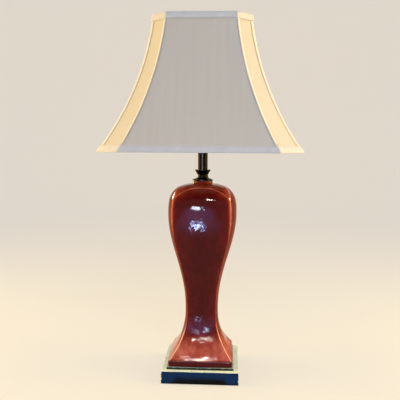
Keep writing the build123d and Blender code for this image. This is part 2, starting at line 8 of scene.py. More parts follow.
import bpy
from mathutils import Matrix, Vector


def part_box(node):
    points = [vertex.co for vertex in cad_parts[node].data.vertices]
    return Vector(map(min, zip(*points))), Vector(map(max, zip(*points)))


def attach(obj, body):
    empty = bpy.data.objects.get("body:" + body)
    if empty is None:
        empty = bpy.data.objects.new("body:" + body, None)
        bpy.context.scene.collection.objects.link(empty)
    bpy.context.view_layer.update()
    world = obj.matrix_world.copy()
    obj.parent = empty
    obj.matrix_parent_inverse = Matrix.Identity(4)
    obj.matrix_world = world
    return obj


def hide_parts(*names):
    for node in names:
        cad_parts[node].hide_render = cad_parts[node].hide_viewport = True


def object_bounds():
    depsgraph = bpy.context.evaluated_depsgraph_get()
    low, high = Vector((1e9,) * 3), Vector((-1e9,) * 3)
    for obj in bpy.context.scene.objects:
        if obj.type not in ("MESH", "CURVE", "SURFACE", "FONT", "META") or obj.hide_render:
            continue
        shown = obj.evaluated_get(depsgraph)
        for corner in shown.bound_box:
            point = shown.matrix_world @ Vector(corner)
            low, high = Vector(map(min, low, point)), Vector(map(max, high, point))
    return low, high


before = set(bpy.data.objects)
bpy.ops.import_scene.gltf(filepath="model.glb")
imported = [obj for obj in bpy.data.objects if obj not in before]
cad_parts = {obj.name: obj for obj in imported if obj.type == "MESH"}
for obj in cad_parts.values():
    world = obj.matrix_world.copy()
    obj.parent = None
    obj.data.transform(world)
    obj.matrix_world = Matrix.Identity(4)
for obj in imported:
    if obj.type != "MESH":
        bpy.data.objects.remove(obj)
cad_low, cad_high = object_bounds()
print("CAD box", [round(v, 4) for v in cad_low], [round(v, 4) for v in cad_high])

# %% Modules
from math import cos, exp, pi, radians, sin, sqrt

import bpy
from mathutils import Matrix, Vector

# %% [markdown]
# ## Working units
# The lamp is designed in millimetres and Blender's unit here is the metre, so every size below is
# written in millimetres and turned to metres in one place.

# %% Units and collections
MM = 0.001


def per_metre(size):
    """How many features of a size in millimetres fit in a metre, which is a texture's scale."""
    return 1 / (size * MM)


def box_mm(node):
    """Lowest and highest corner of a CAD node, in millimetres."""
    low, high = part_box(node)
    return low / MM, high / MM


print("neck tube", [round(v, 1) for v in box_mm("neck_tube")[1]])

# %% [markdown]
# ## Camera
# The camera stands where the photograph was taken from: a little to the right of the lamp, level
# with the bottom of its shade, looking slightly down. Its place and turn were fitted to the corners
# of the plinth and of the shade, so they are written as real distances and angles.

# %% Camera
camera_place = Vector((55.1, -1205, 506.7))
camera_yaw = -0.0505
camera_pitch = 0.0935
camera_roll = -0.0065
camera_lens = 48.6

camera_data = bpy.data.cameras.new("photo_camera")
camera_data.lens = camera_lens
camera = bpy.data.objects.new("photo_camera", camera_data)
bpy.context.scene.collection.objects.link(camera)
bpy.context.scene.camera = camera

level_ahead = Vector((sin(camera_yaw), cos(camera_yaw), 0))
ahead = level_ahead * cos(camera_pitch) - Vector((0, 0, sin(camera_pitch)))
level_right = Vector((cos(camera_yaw), -sin(camera_yaw), 0))
level_up = level_right.cross(ahead)
camera_right = cos(camera_roll) * level_right - sin(camera_roll) * level_up
camera_up = sin(camera_roll) * level_right + cos(camera_roll) * level_up
turn = Matrix((camera_right, camera_up, -ahead)).transposed().to_4x4()
camera.matrix_world = Matrix.Translation(camera_place * MM) @ turn
print("camera at", [round(v, 3) for v in camera.location])

# %% [markdown]
# ## Nodes and colours
# Shader trees and geometry trees are built the same way: a node is added, its settings are set, and
# each input gets either a value or a link. One small function does that for both, and its wiring
# also serves the nodes that Blender puts in by itself. Colours are written as the sRGB hex values
# that a designer would pick, and one function makes them linear. The kinds of node used most have
# short names, which hold the node's usual settings too, such as a maths node's operation.


# %% One function that adds a node, and one that reads a colour
def wire(tree, node, inputs):
    """Give each socket, by name or number, a value or a link; a node stands for its first output."""
    for key, value in inputs.items():
        if isinstance(value, bpy.types.Node):
            value = next(socket for socket in value.outputs if socket.enabled)
        if isinstance(value, bpy.types.NodeSocket):
            tree.links.new(value, node.inputs[key])
        else:
            node.inputs[key].default_value = value


def add(tree, kind, *inputs, **settings):
    """Add a node, with its settings; its inputs come in their order, or by name in a dictionary."""
    kind, usual = kind if isinstance(kind, tuple) else (kind, {})
    node = tree.nodes.new(kind)
    for name, value in (usual | settings).items():
        setattr(node, name, value)
    named = inputs and isinstance(inputs[0], dict)
    wire(tree, node, inputs[0] if named else dict(enumerate(inputs)))
    return node


def colour(hex_value):
    """An sRGB hex colour as linear red, green, blue and alpha."""
    channels = [int(hex_value[i : i + 2], 16) / 255 for i in (0, 2, 4)]
    linear = [c / 12.92 if c <= 0.04045 else ((c + 0.055) / 1.055) ** 2.4 for c in channels]
    return (*linear, 1)


def new_material(name, **values):
    """A material with one Principled shader, whose constants are set on its own sockets."""
    material = bpy.data.materials.new(name)
    material.use_nodes = True
    shader = material.node_tree.nodes["Principled BSDF"]
    for socket, value in values.items():
        shader.inputs[socket.replace("_", " ")].default_value = value
    return material, material.node_tree, shader


operations = ["ADD", "SUBTRACT", "MULTIPLY", "DIVIDE", "MULTIPLY_ADD", "SQRT", "ABSOLUTE"]
operations += ["MAXIMUM", "MINIMUM", "LESS_THAN", "GREATER_THAN"]
maths = [("ShaderNodeMath", {"operation": operation}) for operation in operations]
PLUS, MINUS, TIMES, OVER, TIMES_PLUS, ROOT, UNSIGNED, LARGER, SMALLER, LESS, MORE = maths
TURN = ("ShaderNodeVectorRotate", {"rotation_type": "Z_AXIS"})
MIX, MIX_SHADERS = ("ShaderNodeMix", {"data_type": "RGBA"}), "ShaderNodeMixShader"
RANGE, NOISE, BUMP = "ShaderNodeMapRange", "ShaderNodeTexNoise", "ShaderNodeBump"
COMBINE, SEPARATE, MAPPING = "ShaderNodeCombineXYZ", "ShaderNodeSeparateXYZ", "ShaderNodeMapping"
COORDINATES, ATTRIBUTE = "ShaderNodeTexCoord", "ShaderNodeAttribute"
print("ivory", [round(c, 3) for c in colour("e4d9c8")])

# %% [markdown]
# ## Studio
# The stage is a round, pale floor that curves up into a wall, so that no edge shows from any side.
# It is seen from below as nothing at all, so the underside of the lamp can be looked at too. The
# camera, glass and gloss see darker paper with a light of its own. The two together come near to
# white, even out the warm lamps and leave the shadow. Diffuse rays see plain pale paper.

# %% Floor and backdrop
floor_radius = 3000
bend_radius = 1500
wall_height = 3500
stage_segments = 96
stage_profile = [(floor_radius + bend_radius, wall_height)]
for angle in range(90, -1, -10):
    out, up = sin(radians(angle)), 1 - cos(radians(angle))
    stage_profile.append((floor_radius + bend_radius * out, bend_radius * up))
stage_profile.append((0, 0))


def add_piece(name, points, faces, smooth=True):
    """A mesh object at the origin, from points in millimetres."""
    mesh = bpy.data.meshes.new(name)
    mesh.from_pydata([(x * MM, y * MM, z * MM) for x, y, z in points], [], faces)
    mesh.polygons.foreach_set("use_smooth", [smooth] * len(mesh.polygons))
    mesh.validate()
    piece = bpy.data.objects.new(name, mesh)
    bpy.context.scene.collection.objects.link(piece)
    return piece


def lathe(name, profile, segments):
    """Turn a profile of (radius, height) about the upright axis: a profile that climbs faces outward."""
    points, rows = [], []
    for radius, height in profile:
        count = segments if radius else 1
        rows.append(range(len(points), len(points) + count))
        for i in range(count):
            angle = 2 * pi * i / segments
            points.append((radius * cos(angle), radius * sin(angle), height))
    faces = []
    for low, high in zip(rows, rows[1:]):
        for i in range(segments):
            j = (i + 1) % segments
            corners = [low[i % len(low)], low[j % len(low)], high[j % len(high)], high[i % len(high)]]
            faces.append(list(dict.fromkeys(corners)))
    return add_piece(name, points, faces)


def bare_tree(owner):
    """The node tree of a material or a world, without the nodes that Blender puts in."""
    owner.use_nodes = True
    owner.node_tree.nodes.clear()
    return owner.node_tree


def seen_share(tree):
    """1 for rays from the camera, glass or gloss, and 0 for the rays that carry plain light."""
    ray = add(tree, "ShaderNodeLightPath").outputs
    through = add(tree, LARGER, ray["Is Camera Ray"], ray["Is Transmission Ray"])
    return add(tree, LARGER, through, ray["Is Glossy Ray"])


backdrop = lathe("backdrop", stage_profile, stage_segments)
backdrop_material = bpy.data.materials.new("studio_paper")
tree = bare_tree(backdrop_material)
facing = add(tree, "ShaderNodeNewGeometry")
paper = add(tree, "ShaderNodeBsdfDiffuse", {"Color": colour("d2d9e8")})
seen_paper = add(tree, "ShaderNodeBsdfDiffuse", {"Color": colour("8a8c90")})
glow = add(tree, "ShaderNodeEmission", {"Color": colour("f6ead6"), "Strength": 0.72})
glowing = add(tree, "ShaderNodeAddShader", seen_paper, glow)
lit = add(tree, MIX_SHADERS, seen_share(tree), paper, glowing)
clear = add(tree, "ShaderNodeBsdfTransparent")
side = add(tree, MIX_SHADERS, facing.outputs["Backfacing"], lit, clear)
add(tree, "ShaderNodeOutputMaterial", {"Surface": side})
backdrop.data.materials.append(backdrop_material)
print("stage", len(backdrop.data.polygons), "faces")

# %% [markdown]
# The light is soft and plain. Two large warm lamps stand at the sides, as the photograph's corner
# panels and side faces show, and a cool strip in front lights the rest, low enough to shine in under
# the shade. Each small card stands where one of the photograph's highlights mirrors to, with a grid
# over it that keeps its beam narrow, so that it gives the wet glaze that highlight and no other. The
# cards fade to their edges, and the sparkle's card is broken into grains. Two tan flags behind the
# lamp keep the pale wall out of its turned sides, as a photographer does with dark bottles. Only
# gloss sees the cards and flags, so they leave the colours as they are.

# %% Lights
bpy.context.scene.view_settings.view_transform = "Standard"
# each light's place, height aimed at on the lamp's axis, size, watts, colour and beam in degrees
lamps = {
    "left_lamp": ((-1500, -130, 850), 430, (1000, 1000), 28, "ffd557", 180),
    "right_lamp": ((1500, -130, 850), 430, (1000, 1000), 28, "ffd557", 180),
    "front_lamp": ((424, -1650, 1550), 400, (800, 140), 13.5, "b4d6ff", 180),
}
cards = {
    "dusk_card": ((-130, -1050, 300), 2166, (1150, 1200), 19, "aea6ff", 180),
    "streak_card": ((370, -1570, 1500), 400, (1000, 190), 1.1, "fff2ec", 12),
    "blob_card": ((-273, -1547, 474), 382, (560, 220), 0.8, "d2e2ff", 20),
    "sparkle_card": ((-130, -840, 35), 335, (420, 330), 3.2, "a9c4ff", 30),
    "waist_card": ((190, -1417, 302), 109, (60, 70), 0.03, "d8e6ff", 12),
    "foot_left_card": ((-224, -1198, 640), 88, (230, 26), 0.024, "fff0e6", 12),
    "foot_middle_card": ((-40, -1220, 600), 88, (230, 26), 0.07, "fff0e6", 12),
    "foot_right_card": ((174, -1204, 650), 88, (230, 26), 0.04, "fff0e6", 12),
    "band_card": ((-77, -947, 1160), 49, (330, 50), 0.09, "fff4ea", 14),
    "left_rim": ((-1250, 1350, 900), 370, (900, 700), 330, "ffe0c0", 180),
    "right_rim": ((1500, 800, 1400), 370, (900, 700), 330, "ffe0c0", 180),
    "neck_card": ((70, -1600, 480), 520, (60, 300), 0.04, "c6d8ff", 7),
}
grain_sizes = {"sparkle_card": 42}
grain_dark, grain_bright = 0.46, 0.58


def soften(light, grain_size):
    """Fade a card to its edges, and break it into grains of a size in millimetres if one is given."""
    light.use_nodes = True
    tree = light.node_tree
    on_card = add(tree, "ShaderNodeNewGeometry").outputs["Parametric"]
    across, up, _ = add(tree, SEPARATE, on_card).outputs
    bright = 2.0**4
    for share in (across, up):
        rest = add(tree, MINUS, 1.0, share)
        fade = add(tree, TIMES, share, rest)
        bright = add(tree, TIMES, fade, bright)
    if grain_size:
        counts = (light.size / MM / grain_size, light.size_y / MM / grain_size, 1.0)
        spot = add(tree, COMBINE, across, up)
        spread = add(tree, "ShaderNodeVectorMath", spot, counts, operation="MULTIPLY")
        noise = add(tree, NOISE, {"Vector": spread, "Scale": 1.0, "Detail": 0.0})
        grainy = add(tree, RANGE, {"Value": noise, "From Min": grain_dark, "From Max": grain_bright})
        bright = add(tree, TIMES, bright, grainy)
    wire(tree, next(node for node in tree.nodes if node.type == "EMISSION"), {"Strength": bright})


for name, (place, aim_height, size, power, tint, beam) in (lamps | cards).items():
    light = bpy.data.lights.new(name, "AREA")
    light.energy, light.color, light.spread = power, colour(tint)[:3], radians(beam)
    light.shape, light.size, light.size_y = "RECTANGLE", size[0] * MM, size[1] * MM
    if name in cards:
        soften(light, grain_sizes.get(name))
    lamp = bpy.data.objects.new(name, light)
    bpy.context.scene.collection.objects.link(lamp)
    lamp.visible_camera = False
    lamp.visible_diffuse = name in lamps
    lamp.visible_glossy = name != "front_lamp"
    lamp.location = Vector(place) * MM
    lamp.rotation_euler = (Vector((0, 0, aim_height)) - Vector(place)).to_track_quat("-Z", "Y").to_euler()
print("lamps", len(lamps), "cards", len(cards))

# %% Flags and air
flag_near, flag_far, flag_back, flag_top = 110, 900, 350, 490
flag_material = bpy.data.materials.new("flag_tan")
tree = bare_tree(flag_material)
tan_light = add(tree, "ShaderNodeEmission", {"Color": colour("ca8f69"), "Strength": 1.0})
add(tree, "ShaderNodeOutputMaterial", {"Surface": tan_light})
for name, side in (("left_flag", -1), ("right_flag", 1)):
    outline = ((flag_near, 0), (flag_far, 0), (flag_far, flag_top), (flag_near, flag_top))
    flag = add_piece(name, [(side * out, flag_back, height) for out, height in outline], [(0, 1, 2, 3)])
    flag.data.materials.append(flag_material)
    flag.visible_camera = flag.visible_diffuse = flag.visible_transmission = flag.visible_shadow = False

world = bpy.data.worlds.new("studio_air")
bpy.context.scene.world = world
tree = bare_tree(world)
air = add(tree, "ShaderNodeBackground", {"Color": colour("cbdafb"), "Strength": 0.45})
white = add(tree, "ShaderNodeBackground", {"Color": colour("f6ead6"), "Strength": 1.0})
either = add(tree, MIX_SHADERS, seen_share(tree), air, white)
add(tree, "ShaderNodeOutputWorld", {"Surface": either})
print("flags from", flag_near, "to", flag_far, "mm out")

# %% [markdown]
# ## Ceramic body
# The body is slip-cast in a mould: every section is a square whose four sides bow out, and it
# narrows from a square foot to a waist, swells to the shoulder, and turns round at the lip. Loft
# tools or a subdivision cage would smear the four ridges, so the mesh is laid out row by row from
# the same rules as the model. Each point also learns how thin the glaze runs there, because molten
# glaze draws away from edges and leaves them pale.

# %% Body sizes
seat = box_mm("plinth_step")[1].z
foot_crown, foot_ridge, foot_band = 71.6, 69.6, 12
waist_crown, waist_ridge, waist_height = 36.8, 32.3, 111.4
shoulder_crown, shoulder_ridge, shoulder_height = 76.4, 63.8, 330.9
flare_power, swell_power = 2.2, 1.12
shoulder_rise, shoulder_power, shoulder_end = 67, 3, 80
lip_radius, lip_hole, floor_hole = 22, 12, 15
lip_top = box_mm("ceramic_body")[1].z - seat
body_wall, body_floor = 6, 6
ridge_round = 2.6
side_steps, corner_steps = 56, 6


def body_half(height, foot, waist, shoulder):
    """Half width of the body between its foot band and its shoulder."""
    if height < waist_height:
        flare = (waist_height - height) / (waist_height - foot_band)
        return waist + (foot - waist) * min(flare, 1) ** flare_power
    swell = ((height - waist_height) / (shoulder_height - waist_height)) ** swell_power
    return waist + (shoulder - waist) * (1 - cos(pi * swell)) / 2


def shoulder_row(angle, wall):
    """Height, crown and ridge of the section where the shoulder has turned by an angle."""
    rise = shoulder_rise - wall
    height = shoulder_height + rise * sin(radians(angle)) ** (2 / shoulder_power)
    crown = (shoulder_crown - wall) * cos(radians(angle)) ** (2 / shoulder_power)
    square = (shoulder_ridge - wall) / (shoulder_crown - wall)
    return height, crown, crown * (square + (sqrt(0.5) - square) * (angle / 90) ** 2)


def side_row(height, wall):
    """Height, crown and ridge of a section below the shoulder."""
    crown = body_half(height, foot_crown, waist_crown, shoulder_crown) - wall
    return height, crown, body_half(height, foot_ridge, waist_ridge, shoulder_ridge) - wall


def round_row(height, radius):
    """A round section."""
    return height, radius, radius * sqrt(0.5)


print("body stands on", round(seat, 1), "and is", round(lip_top, 1), "tall")

# %% Body rows
edge_round = 2
row_pitch = 1.5
shoulder_pitch = 1.5
inner_pitch = 12
inner_turn, inner_turn_pitch = 75, 10
band_rows = (4, 6, 8, 10)
band_ease = ((11, 0.05), (12, 0.35))
lip_flares = ((5.2, 0.9), (4.6, 0.2), (4, 0))
lip_round, lip_bore_depth = 1, 14

outer_rows = [round_row(0, floor_hole)]
for angle in (0, 30, 60, 90):
    inset = edge_round * (1 - sin(radians(angle)))
    outer_rows.append((edge_round * (1 - cos(radians(angle))), foot_crown - inset, foot_ridge - inset))
outer_rows += [(height, foot_crown, foot_ridge) for height in band_rows]
outer_rows += [(height, foot_crown - inset, foot_ridge - inset) for height, inset in band_ease]
side_low = band_ease[-1][0] + 1
side_rise = shoulder_height - side_low
row_count = round(side_rise / row_pitch)
outer_rows += [side_row(side_low + side_rise * i / row_count, 0) for i in range(row_count)]
outer_rows += [shoulder_row(shoulder_pitch * i, 0) for i in range(round(shoulder_end / shoulder_pitch) + 1)]
outer_rows += [round_row(lip_top - below_top, lip_radius + flare) for below_top, flare in lip_flares]
for angle in (0, 30, 60, 90):
    up, out = lip_round * (sin(radians(angle)) - 1), lip_round * (cos(radians(angle)) - 1)
    outer_rows.append(round_row(lip_top + up, lip_radius + out))

inner_rows = [round_row(lip_top, lip_hole), round_row(lip_top - lip_bore_depth, lip_hole)]
inner_rows += [shoulder_row(angle, body_wall) for angle in range(inner_turn, 0, -inner_turn_pitch)]
inner_heights = range(int(shoulder_height), foot_band, -inner_pitch)
inner_rows += [side_row(height, body_wall) for height in inner_heights]
inner_rows.append((body_floor, foot_crown - body_wall, foot_ridge - body_wall))
inner_rows.append(round_row(body_floor, floor_hole))
print("rows", len(outer_rows), "outside and", len(inner_rows), "inside")

# %% [markdown]
# On the shoulder the flat of each side ends in a soft crease, higher in the middle of the side than
# at the ridges, with the dome behind it. It is a line that the mould leaves, so it is raised in the
# mesh, and the glaze is thin along it.

# %% One section of the body
crease_middle, crease_drop = 390, 25
crease_lift, crease_width = 1.3, 6
line_width, shoulder_line = 1.5, 4
edge_fade = 10
dome_glaze, crease_glaze, foot_thin_and_lit, edge_glaze = 0.24, 0.68, 0.41, 0.12
foot_ridge_glaze, waist_ridge_glaze, shoulder_ridge_glaze = 0.95, 0.14, 0.42

# heights between which each part of the pattern comes in or goes out
band_out, foot_in, foot_out = (11, 15), (11, 17), (35, 78)
waist_in, shoulder_in = (55, 100), (270, 340)
crease_in, crease_out = (shoulder_height, shoulder_height + 20), (390, 396)
ridge_out, edge_out = (crease_middle - crease_drop, crease_middle + 4), (375, 390)
dome_in = (-25, 5)


def smooth_step(value, low, high):
    """0 below low, 1 above high, and a smooth way between."""
    share = min(max((value - low) / (high - low), 0), 1)
    return share * share * (3 - 2 * share)


def crease_share(height):
    """How much of the crease there is at a height."""
    return smooth_step(height, *crease_in) * (1 - smooth_step(height, *crease_out))


def thin_share(height, above_crease, to_ridge):
    """How thin the glaze runs, with painted light on the foot's flare, from the height and the distances to
    the crease and the ridge.
    """
    shoulder = smooth_step(height, *shoulder_in)
    ridge_width = line_width + (shoulder_line - line_width) * shoulder
    ridge_glaze = foot_ridge_glaze + (waist_ridge_glaze - foot_ridge_glaze) * smooth_step(height, *waist_in)
    ridge_glaze += (shoulder_ridge_glaze - waist_ridge_glaze) * shoulder
    on_ridge = ridge_glaze * exp(-((to_ridge / ridge_width) ** 2)) * (1 - smooth_step(height, *ridge_out))
    above_band = smooth_step(height, *band_out)
    on_crease = crease_glaze * crease_share(height) * exp(-((above_crease / line_width) ** 2))
    on_dome = dome_glaze * smooth_step(above_crease, *dome_in)
    # the upward-facing flare of the foot is paler, partly as thin glaze and partly as painted light from
    # above
    on_foot = foot_thin_and_lit * (1 - smooth_step(height, *foot_out)) * smooth_step(height, *foot_in)
    by_edge = edge_glaze * exp(-to_ridge / edge_fade) * (1 - smooth_step(height, *edge_out)) * above_band
    return max(on_ridge * above_band, on_crease, on_dome, on_foot) + by_edge


def section_points(row):
    """The points of one row, counter-clockwise from the front left ridge, each with its thin glaze."""
    height, crown, ridge = row
    bow = crown - ridge
    reach = (ridge**2 + bow**2) / (2 * bow)
    end = ridge - min(ridge_round, ridge / 4)
    side = []
    for i in range(side_steps + 1):
        x = -end + 2 * end * i / side_steps
        side.append((x, reach - crown - sqrt(reach**2 - x**2)))
    last, following = side[-1], (-side[0][1], side[0][0])
    for i in range(1, corner_steps):
        t = i / corner_steps
        a, b, c = (1 - t) ** 2, 2 * t * (1 - t), t**2
        side.append((a * last[0] + b * ridge + c * following[0], a * last[1] - b * ridge + c * following[1]))
    points = []
    for quarter in range(4):
        for x, y in side:
            above_crease = height - (crease_middle - crease_drop * min(abs(x) / ridge, 1) ** 4)
            lift = crease_lift * crease_share(height) * exp(-abs(above_crease) / crease_width)
            swell = 1 + lift / max(crown, 1)
            thin = thin_share(height, above_crease, ridge - abs(x))
            for _ in range(quarter):
                x, y = -y, x
            points.append((x * swell, y * swell, seat + height, thin))
    return points


body_columns = 4 * (side_steps + corner_steps)
print("columns", body_columns)

# %% Body mesh
relief_in, relief_out = (1, 6), (396, 399)
body_points = [point for row in outer_rows + inner_rows for point in section_points(row)]
body_row_count = len(outer_rows) + len(inner_rows)
body_faces = []
for r in range(body_row_count):
    low, high = r * body_columns, (r + 1) % body_row_count * body_columns
    for c in range(body_columns):
        d = (c + 1) % body_columns
        body_faces.append((low + c, low + d, high + d, high + c))
glazed_body = add_piece("glazed_body", [point[:3] for point in body_points], body_faces)
body_reliefs = []
for i, (_, _, z, _) in enumerate(body_points):
    outside = i < len(outer_rows) * body_columns
    inside_band = smooth_step(z - seat, *relief_in) * (1 - smooth_step(z - seat, *relief_out))
    body_reliefs.append(outside * inside_band)
for name, values in (("thin_glaze_and_lit_foot", [point[3] for point in body_points]), ("relief", body_reliefs)):
    attribute = glazed_body.data.attributes.new(name, "FLOAT", "POINT")
    attribute.data.foreach_set("value", values)
print("body", len(body_points), "points", len(body_faces), "faces")

# %% [markdown]
# The glaze isn't dead flat. It lies in shallow dimples a few millimetres wide, which break every
# highlight into sparkles, over slow waves from the casting. Geometry Nodes push the points along
# their normals by a noise, so the relief is in the mesh and not only in the shading.


# %% Hammered relief by Geometry Nodes
def new_tree(name, inputs):
    """A geometry tree with named inputs; inputs gives each name its socket type and value."""
    tree = bpy.data.node_groups.new(name, "GeometryNodeTree")
    tree.interface.new_socket("Geometry", in_out="INPUT", socket_type="NodeSocketGeometry")
    tree.interface.new_socket("Geometry", in_out="OUTPUT", socket_type="NodeSocketGeometry")
    for label, (kind, value) in inputs.items():
        socket = tree.interface.new_socket(label, in_out="INPUT", socket_type=f"NodeSocket{kind}")
        if value is not None:
            socket.default_value = value
    return tree, add(tree, "NodeGroupInput").outputs


def finish_tree(tree, geometry):
    """Close a tree: instances are made real and the result takes the material that comes in."""
    given = add(tree, "NodeGroupInput").outputs
    real = add(tree, "GeometryNodeRealizeInstances", geometry)
    painted = add(tree, "GeometryNodeSetMaterial", {0: real, "Material": given["Material"]})
    add(tree, "NodeGroupOutput", painted)


def bake(tree, name, values, start=None):
    """Run a tree on a mesh, or on nothing, with its inputs set by their identifiers, and keep the mesh."""
    start = start or add_piece(name + "_start", [], [])
    modifier = start.modifiers.new(tree.name, "NODES")
    modifier.node_group = tree
    for item in tree.interface.items_tree:
        if item.in_out == "INPUT" and item.name in values:
            modifier[item.identifier] = values[item.name]
    start.update_tag()
    bpy.context.view_layer.update()
    mesh = bpy.data.meshes.new_from_object(start.evaluated_get(bpy.context.evaluated_depsgraph_get()))
    bpy.data.objects.remove(start)
    mesh.name = name
    piece = bpy.data.objects.new(name, mesh)
    bpy.context.scene.collection.objects.link(piece)
    return piece


relief_inputs = {
    "Dimple size": ("Float", 4.5 * MM),
    "Dimple depth": ("Float", 0.5 * MM),
    "Wave size": ("Float", 70 * MM),
    "Wave depth": ("Float", 0.6 * MM),
    "Material": ("Material", None),
}
relief_tree, given = new_tree("glaze_relief", relief_inputs)
tree = relief_tree
offsets = []
for relief in ("Dimple", "Wave"):
    scale = add(tree, OVER, 1.0, given[f"{relief} size"])
    noise = add(tree, NOISE, {"Scale": scale, "Detail": 1.0})
    centred = add(tree, MINUS, noise, 0.5)
    offsets.append(add(tree, TIMES, centred, given[f"{relief} depth"]))
both = add(tree, PLUS, offsets[0], offsets[1])
mask = add(tree, "GeometryNodeInputNamedAttribute", {"Name": "relief"}, data_type="FLOAT")
push = add(tree, TIMES, both, mask)
normal = add(tree, "GeometryNodeInputNormal")
along = add(tree, "ShaderNodeVectorMath", {0: normal, "Scale": push}, operation="SCALE")
moved = add(tree, "GeometryNodeSetPosition", {"Geometry": given["Geometry"], "Offset": along})
finish_tree(tree, moved)
print("relief tree", len(tree.nodes), "nodes")

# %% [markdown]
# **Oxblood glaze.** A copper-red glaze fired on white clay is glass over a deep stain: dark
# crimson where it pools, salmon where it thins, and nearly the pale clay itself on the ridges. A
# ramp over the thin-glaze attribute gives those colours. The melt runs downward, so the noise that
# mottles them is drawn out in height, and it shows most where the glaze is thin. A low roughness
# with a fine bump gives the wet gloss. In a white studio the full reflection of glass would turn so
# dark a stain grey, so the specular level is lower, as the photograph shows it.

# %% Oxblood glaze, fired
oxblood, tree, shader = new_material("oxblood_glaze_fired", Roughness=0.045, IOR=1.5, Specular_IOR_Level=0.15)
place = add(tree, COORDINATES).outputs["Object"]
thin = add(tree, ATTRIBUTE, attribute_name="thin_glaze_and_lit_foot").outputs["Fac"]
runs = add(tree, MAPPING, {"Vector": place, "Scale": (1.0, 1.0, 0.45)})
cloud = add(tree, NOISE, {"Vector": runs, "Scale": per_metre(12), "Detail": 5.0})
mottle_span = {"To Min": -0.07, "To Max": 0.09}
mottle = add(tree, RANGE, {"Value": cloud, "From Min": 0.3, "From Max": 0.7} | mottle_span)
share = add(tree, TIMES_PLUS, thin, 1.8, 0.5)
depth = add(tree, TIMES_PLUS, mottle, share, thin, use_clamp=True)
ramp = add(tree, "ShaderNodeValToRGB", {"Fac": depth})
stops = ((0, "520a0e"), (0.12, "681311"), (0.24, "872c1b"), (0.38, "a8483c"), (0.6, "cd7466"), (1, "f0c9b2"))
while len(ramp.color_ramp.elements) < len(stops):
    ramp.color_ramp.elements.new(0.5)
for element, (position, hex_value) in zip(ramp.color_ramp.elements, stops):
    element.position, element.color = position, colour(hex_value)
dimples = add(tree, NOISE, {"Vector": place, "Scale": per_metre(2.5), "Detail": 0.0})
bump = add(tree, BUMP, {"Height": dimples, "Strength": 0.5, "Distance": 0.1 * MM})
wire(tree, shader, {"Base Color": ramp, "Normal": bump})
glazed_body = bake(relief_tree, "glazed_body", {"Material": oxblood}, glazed_body)
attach(glazed_body, "base")
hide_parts("ceramic_body")
print(glazed_body.name, len(glazed_body.data.polygons), "faces")

# %% [markdown]
# ## Shade cover
# The shade is a bell with cut corners: at every height its section is a square whose corners are
# cut, and one hollow arc gives the half width from the top to the bottom. Eight panels of fabric are
# stretched from ring to ring, so each panel is straight across and curved along. A cloth simulation
# has nothing to add to fabric this tight. The rule is simple, so Geometry Nodes bend a flat grid
# into any of the panels, and each grid point keeps where it was on the flat cloth for the weave.

# %% Shade sizes
shade_low = box_mm("shade_panel_front")[0].z
shade_high = box_mm("shade_panel_front")[1].z
top_half, bottom_half = 101, 200.8
top_cut, bottom_cut = 31, 49
bell_radius = 655
cover_thickness, lining_thickness = 0.8, 0.5
seam_gap = 0.2
fabric_clearance = 0.3
rib_radius = 1.2
tape_corner, tape_wide, tape_thickness = 6.0, 0.4, 0.7
# width of the painted shadow beside the tapes, and where it starts on a wide panel
tape_shadow_width, wide_tape_shadow_start = 2.2, -1.4
trim_height, trim_lap = 13, 0.8
shade_nodes = ("front", "front_right", "right", "back_right", "back", "back_left", "left", "front_left")

run, drop = bottom_half - top_half, shade_high - shade_low
chord = sqrt(run**2 + drop**2)
reach = sqrt(bell_radius**2 - (chord / 2) ** 2)
arc_out = (top_half + bottom_half) / 2 + reach * drop / chord
arc_height = (shade_low + shade_high) / 2 + reach * run / chord


def bell_half(height):
    """Half width of the shade at a height above the table."""
    return arc_out - sqrt(bell_radius**2 - (height - arc_height) ** 2)


def bell_cut(height):
    """How far the corners are cut back at a height."""
    share = (bell_half(height) - top_half) / (bottom_half - top_half)
    return top_cut + (bottom_cut - top_cut) * share


def bell_corners(height, outward=0):
    """The eight corners of the shade's section, front left first, moved outward from its sides."""
    cut = bell_cut(height) + (2 - sqrt(2)) * outward
    half = bell_half(height) + outward
    short = half - cut
    front = [(-short, -half), (short, -half)]
    corners = []
    for _ in range(4):
        corners += front
        front = [(-y, x) for x, y in front]
    return corners


print("arc centre", round(arc_out, 1), round(arc_height, 1), "half", round(bell_half(shade_low), 2))

# %% The bell's rule, as nodes
bell_sizes = {
    "Arc radius": bell_radius,
    "Arc centre out": arc_out,
    "Arc centre height": arc_height,
    "Top half": top_half,
    "Bottom half": bottom_half,
    "Top cut": top_cut,
    "Bottom cut": bottom_cut,
    "Low": shade_low,
    "High": shade_high,
    "Outward": 0,
}
bell_inputs = {label: ("Float", size * MM) for label, size in bell_sizes.items()}
bell_inputs["Material"] = ("Material", None)


def bell_section(tree, given, along):
    """Height, half width, straight half and cut of the shade's section, a share of the way up."""
    height = add(tree, RANGE, {"Value": along, "To Min": given["Low"], "To Max": given["High"]})
    below = add(tree, MINUS, height, given["Arc centre height"])
    below_squared = add(tree, TIMES, below, below)
    radius_squared = add(tree, TIMES, given["Arc radius"], given["Arc radius"])
    left = add(tree, MINUS, radius_squared, below_squared)
    level = add(tree, ROOT, left)
    cover_half = add(tree, MINUS, given["Arc centre out"], level)
    halves = {"Value": cover_half, "From Min": given["Top half"], "From Max": given["Bottom half"]}
    cover_cut = add(tree, RANGE, halves | {"To Min": given["Top cut"], "To Max": given["Bottom cut"]})
    cut = add(tree, TIMES_PLUS, given["Outward"], 2 - sqrt(2), cover_cut)
    half = add(tree, PLUS, cover_half, given["Outward"])
    short = add(tree, MINUS, half, cut)
    return height, half, short, cut


def keep(tree, geometry, name, value, data_type):
    """Keep a value on the points, as a named attribute that the materials can read."""
    inputs = {"Geometry": geometry, "Name": name, "Value": value}
    return add(tree, "GeometryNodeStoreNamedAttribute", inputs, data_type=data_type, domain="POINT")


print("rule with", len(bell_inputs), "inputs")

